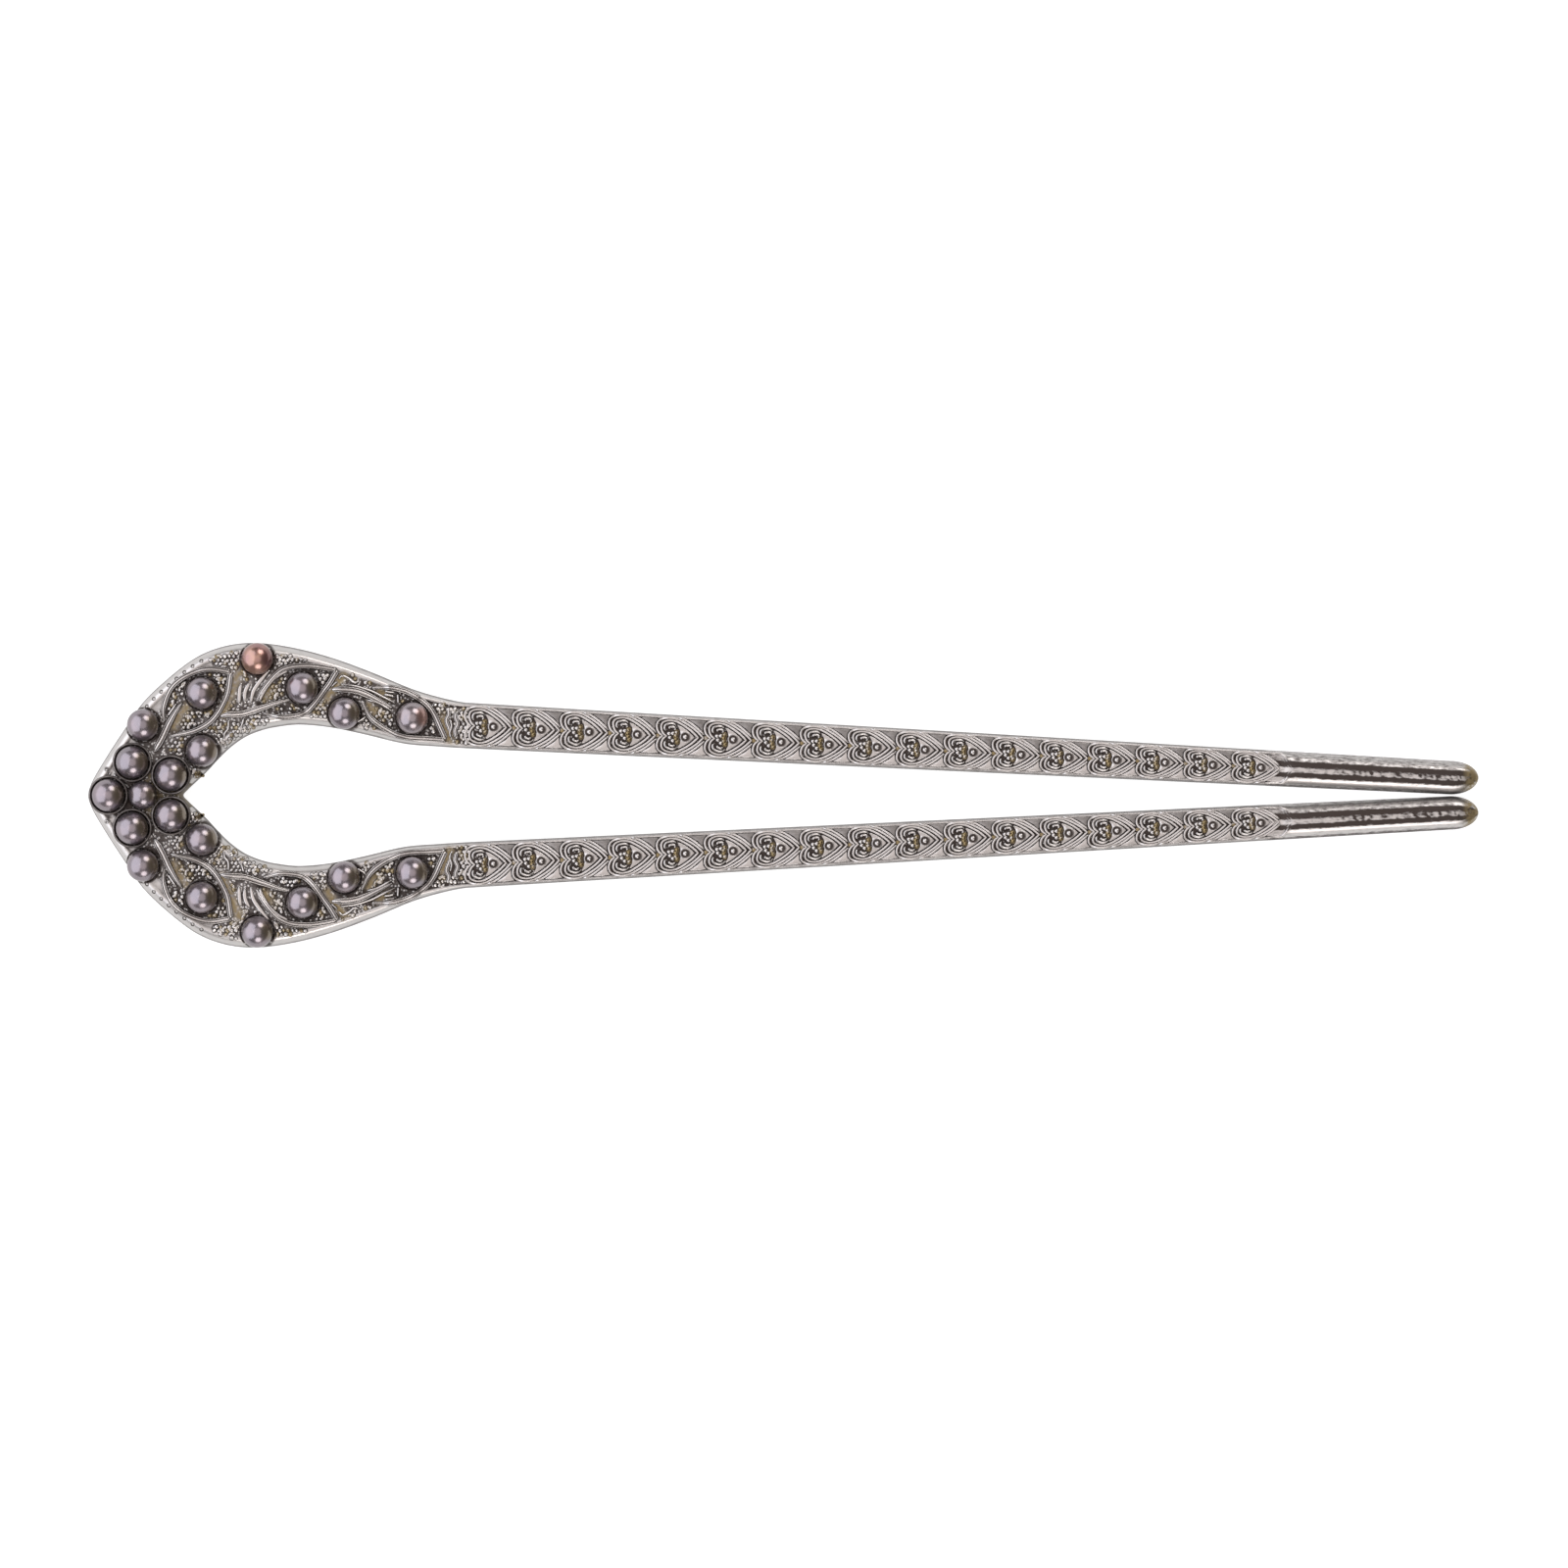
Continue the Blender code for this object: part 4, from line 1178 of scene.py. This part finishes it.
def granule_spots(chance):
    """Places and radii for the grains of the left half of the head, on a shaken hexagonal lattice."""
    spots = []
    y = 0
    shift = 0
    while y < HEAD_HALF:
        x = NOSE_X + shift
        while x < ROOT_X + GRANULE_PITCH:
            angle, reach = chance.uniform(0, 2 * math.pi), chance.uniform(0, GRANULE_JITTER)
            size = mix(*GRANULE_RADII, chance.random() ** SMALL_ONES)
            spots.append((x + reach * math.cos(angle), y + reach * math.sin(angle), size, chance.random()))
            x += GRANULE_PITCH
        y += GRANULE_PITCH * math.sqrt(3) / 2
        shift = GRANULE_PITCH / 2 - shift
    spots = np.array(spots)
    place, size, luck = spots[:, :2], spots[:, 2], spots[:, 3]
    _, column, row = under(place)
    inward, along = band_inward[column, row], band_along[column]
    is_outer = row < rows / 2
    limit = np.where(is_outer, np.interp(along, *OUTER_LIMIT), np.interp(along, *INNER_LIMIT))
    keep = (column >= 0) & (inward > limit)
    in_leaf = in_leaves(place)
    keep &= ~in_leaf | (luck < LEAF_GRANULES)
    keep &= ~(is_outer & (along < BORDER_END) & ~in_leaf)
    for lines, half in raised_lines:
        keep &= from_lines(place, lines) > half + size * FROM_LINE
    apart = np.linalg.norm(place[:, None] - pearl_spots, axis=2).min(1)
    keep &= apart > SEAT_ROOM + size * FROM_SEAT
    keep &= from_lines(place, olive_lines) > FROM_OLIVE
    keep &= np.linalg.norm(place - (flower_x, 0), axis=1) > FROM_FLOWER
    return place[keep], size[keep], luck[keep] / luck[keep].max()


for side, seed in ((1, 5), (-1, 8)):
    chance = random.Random(seed)
    spots, sizes, luck = granule_spots(chance)
    stained = np.exp(-((from_lines(spots, olive_lines) / (2 * OLIVE_REACH)) ** 2))
    for spot, size, stain in zip(spots, sizes, stained):
        tint = STAIN if chance.random() < OLIVE_GRANULES else stain
        dome(granule_shell, spot * (1, side), size, size * GRANULE_RISE, olive=tint, sides=8)
    for number in np.flatnonzero(luck < CRESTS):
        apart = np.linalg.norm(spots - spots[number], axis=1)
        apart[number] = np.inf
        start, end = spots[number], spots[apart.argmin()]
        if apart.min() > CREST_REACH:
            continue
        across = np.array([start[1] - end[1], end[0] - start[0]])
        bend = chance.choice((-CREST_BEND, CREST_BEND)) * across
        line = curve([start, (start + end) / 2 + bend, end], CREST_POINTS) * (1, side)
        width, rise = sizes[number] * CREST_WIDTH, sizes[number] * GRANULE_RISE
        ridge(granule_shell, line, width, rise, SINGLE_LINE, olive=CREST_STAIN)
    at = section(np.linspace(ROW_START, ROW_END, ROW_STEPS))
    row_line = mix(at.outer, at.inner, (ROW_INWARD / at.width)[:, None])
    run = run_of(row_line)
    for reach in np.arange(int(run[-1] / ROW_PITCH)) * ROW_PITCH:
        spot = np.array([np.interp(reach, run, row_line[:, axis]) for axis in (0, 1)])
        dome(granule_shell, spot * (1, side), ROW_RADIUS, ROW_RISE, sides=12, foot=ROW_FOOT)
    for reach, size in NUB:
        dome(granule_shell, np.array([NUB_X + reach, side * NUB_Y]), size, size, olive=1, shade=NUB_SHADE)

granule_silver = silver("Granule silver", bump=0.000002, Blotch_strength=0.2, Polish=0.26)
granules = granule_shell.piece("granules", granule_silver)
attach(granules, "root")
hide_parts("fork")

# The pearls
# Round pearls of coated glass or shell, dark grey with a mauve lustre; one is rose and one has a
# copper blush. Each is glued into its seat.

PEARL_SEGMENTS = 56
PEARL_RINGS = 40
CLOUD_SIZE = 0.0016
SKIN_SIZE = 0.00022
SKIN_RELIEF = 0.0000016
CLOUDS = (0.35, 0.68)
CLOUD_DULLNESS = 0.05
# The side that the second tint faces, and how squarely a spot has to face it to begin and to be full. On
# the grey and rose pearls this tint is painted shade on the side away from the lights; on the two-tone
# pearl it is its copper blush.
TINT_AND_SHADE_SIDE = (0.80, 0.10, 0.59)
TINT_AND_SHADE_EDGE = 0.68
TINT_AND_SHADE_FULL = 0.96


def pearl_lustre_group():
    """A pearl's clouded body, with a second tint on one side, which is painted shade on the grey and rose
    pearls and a copper blush on the two-tone one, and a faintly uneven skin.
    """
    group, given, result = new_group(
        "Pearl lustre",
        [
            ("Body", COLOUR, (0.2, 0.18, 0.2, 1)),
            ("Cloud", COLOUR, (0.24, 0.2, 0.21, 1)),
            ("Side tint and shade", COLOUR, (0.3, 0.2, 0.15, 1)),
            ("Side tint and shade strength", NUMBER, 0.0),
            ("Sheen roughness", NUMBER, 0.26),
        ],
        [("Color", COLOUR), ("Roughness", NUMBER), ("Height", NUMBER)],
    )
    place = put(group, "ShaderNodeTexCoord").outputs["Object"]
    clouded = ranged(group, cloudy(group, place, 1 / CLOUD_SIZE, detail=3.0), *CLOUDS)
    body = blended(group, clouded, given["Body"], given["Cloud"])
    facing = put(group, "ShaderNodeNewGeometry").outputs["Normal"]
    # A tint on one side: painted shade on the grey and rose pearls, a copper blush on the two-tone one.
    aside = put(group, "ShaderNodeVectorMath", {0: facing, 1: TINT_AND_SHADE_SIDE}, operation="DOT_PRODUCT")
    squarely = aside.outputs["Value"]
    side_tint_and_shade = ranged(group, squarely, TINT_AND_SHADE_EDGE, TINT_AND_SHADE_FULL, 0.0, given["Side tint and shade strength"], "SMOOTHSTEP")
    tinted_and_shaded = blended(group, side_tint_and_shade, body, given["Side tint and shade"])
    dull = maths(group, "MULTIPLY_ADD", clouded, CLOUD_DULLNESS, given["Sheen roughness"])
    skin = cloudy(group, place, 1 / SKIN_SIZE)
    for label, value in (("Color", tinted_and_shaded), ("Roughness", dull), ("Height", skin)):
        group.links.new(value, result[label])
    return group


pearl_lustre = pearl_lustre_group()


def pearl_material(name, body, cloud, side_tint_and_shade, side_tint_and_shade_strength):
    """A pearl's coating: a soft metallic glow under a thin clear gloss."""
    material, tree, shader = new_material(name)
    lustre = put(tree, "ShaderNodeGroup", node_tree=pearl_lustre)
    for label, colour in (("Body", body), ("Cloud", cloud), ("Side tint and shade", side_tint_and_shade)):
        lustre.inputs[label].default_value = (*colour, 1)
    lustre.inputs["Side tint and shade strength"].default_value = side_tint_and_shade_strength
    tree.links.new(lustre.outputs["Color"], shader.inputs["Base Color"])
    tree.links.new(lustre.outputs["Roughness"], shader.inputs["Roughness"])
    height = lustre.outputs["Height"]
    skin = put(tree, "ShaderNodeBump", {"Strength": 1.0, "Distance": SKIN_RELIEF, "Height": height})
    tree.links.new(skin.outputs["Normal"], shader.inputs["Normal"])
    shader.inputs["Metallic"].default_value = 0.85
    shader.inputs["Specular Tint"].default_value = (0.4, 0.36, 0.35, 1)
    shader.inputs["Coat Weight"].default_value = 1.0
    shader.inputs["Coat Roughness"].default_value = 0.12
    return material


# Each finish: its body, its clouds, its side tint and how strong that is. The side tint is painted shade on
# the grey and rose pearls and a copper blush on the two-tone pearl.
PEARL_FINISHES = {
    "grey_pearl": ((0.225, 0.2, 0.225), (0.27, 0.225, 0.245), (0.16, 0.125, 0.07), 0.8),
    "rose_pearl": ((0.29, 0.155, 0.152), (0.42, 0.25, 0.185), (0.17, 0.078, 0.075), 0.9),
    "two_tone_pearl": ((0.25, 0.22, 0.24), (0.31, 0.255, 0.26), (0.36, 0.2, 0.16), 0.8),
}
finishes = {
    slot: pearl_material(slot.replace("_", " ").capitalize(), *finish)
    for slot, finish in PEARL_FINISHES.items()
}
slots = {item["node"]: item["material_slot"] for item in frame["record"]["subparts"]}
for node, (centre, radius) in pearls.items():
    rings = []
    for down in np.linspace(0, math.pi, PEARL_RINGS + 1):
        circle = round_line(centre[:2], radius * math.sin(down), PEARL_SEGMENTS)
        height = np.full(PEARL_SEGMENTS, centre[2] + radius * math.cos(down))
        rings.append(np.column_stack([circle, height]))
    pearl_shell = Shell()
    pearl_shell.add(np.array(rings), 0, caps=False)
    pearl = pearl_shell.piece("lustre_" + node, finishes[slots[node]])
    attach(pearl, "root")
    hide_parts(node)

# The table, the lights and the camera
# The fork lies on a glowing white light table under large soft lights, seen from straight above.

VIEW_WIDTH = 0.192
VIEW_Y = 0.00138
LENS = 300
SENSOR = 36
TABLE_HALF = 2
TABLE_GAP = 1e-5
TABLE_GLOW = 0.92
TABLE_GLOW_MIRRORED = 0.75
MOTTLE_SIZE = 0.02
TABLE_TONES = ((0.22, 0.22, 0.22, 1), (0.28, 0.28, 0.28, 1))


def table_material():
    """White acrylic, faintly mottled and lit from below. Its glow is weaker in what it is mirrored in."""
    material, tree, shader = new_material("White table")
    place = put(tree, "ShaderNodeTexCoord").outputs["Object"]
    mottle = cloudy(tree, place, 1 / MOTTLE_SIZE)
    tone = blended(tree, mottle, *TABLE_TONES)
    tree.links.new(tone, shader.inputs["Base Color"])
    shader.inputs["Roughness"].default_value = 0.7
    shader.inputs["Specular IOR Level"].default_value = 0.1
    shader.inputs["Emission Color"].default_value = (1, 1, 1, 1)
    seen = put(tree, "ShaderNodeLightPath").outputs["Is Camera Ray"]
    glow = ranged(tree, seen, 0.0, 1.0, TABLE_GLOW_MIRRORED, TABLE_GLOW)
    tree.links.new(glow, shader.inputs["Emission Strength"])
    return material


floor_data = bpy.data.meshes.new("floor")
table_corners = [
    (x * TABLE_HALF, y * TABLE_HALF, -TABLE_GAP) for x, y in ((-1, -1), (1, -1), (1, 1), (-1, 1))
]
floor_data.from_pydata(table_corners, [], [(0, 1, 2, 3)])
floor_data.materials.append(table_material())
floor = placed("floor", floor_data)


def soft_light(name, azimuth, elevation, distance, size, radiance, shape="RECTANGLE", colour=(1, 1, 1)):
    """A light of a given radiance at an angle round the fork, turned to it and hidden from the camera."""
    data = bpy.data.lights.new(name, "AREA")
    data.shape = shape
    data.size, data.size_y = size
    area = size[0] * size[1] * (1 if shape == "RECTANGLE" else math.pi / 4)
    data.energy = radiance * math.pi * area
    data.color = colour
    light = placed(name, data)
    flat = math.cos(math.radians(elevation)) * distance
    light.location = (
        flat * math.cos(math.radians(azimuth)),
        flat * math.sin(math.radians(azimuth)),
        math.sin(math.radians(elevation)) * distance,
    )
    light.rotation_euler = light.location.to_track_quat("Z", "Y").to_euler()
    light.visible_camera = False


soft_light("softbox_left", 66, 31, 1.0, (0.64, 0.64), 4.2, "ELLIPSE", (1.0, 0.965, 0.955))
soft_light("softbox_right", -85, 29, 1.0, (0.64, 0.64), 3.8, "ELLIPSE", (1.0, 0.955, 0.94))
soft_light("panel_nose", 172, 33, 1.0, (2.2, 1.4), 1.95, "RECTANGLE", (0.95, 0.96, 1.03))
soft_light("panel_above", 0, 90, 1.4, (1.5, 1.5), 0.92, "ELLIPSE", (1.0, 0.92, 0.91))

world = bpy.data.worlds.new("studio")
world.use_nodes = True
sky = world.node_tree.nodes["Background"]
sky.inputs["Color"].default_value = (0.18, 0.165, 0.155, 1)
sky.inputs["Strength"].default_value = 1.0
bpy.context.scene.world = world
bpy.context.scene.view_settings.view_transform = "Standard"

lens = bpy.data.cameras.new("camera")
lens.lens = LENS
lens.sensor_width = SENSOR
lens.clip_end = 10
camera = placed("camera", lens)
camera.location = (0, VIEW_Y, VIEW_WIDTH * LENS / SENSOR)
bpy.context.scene.camera = camera
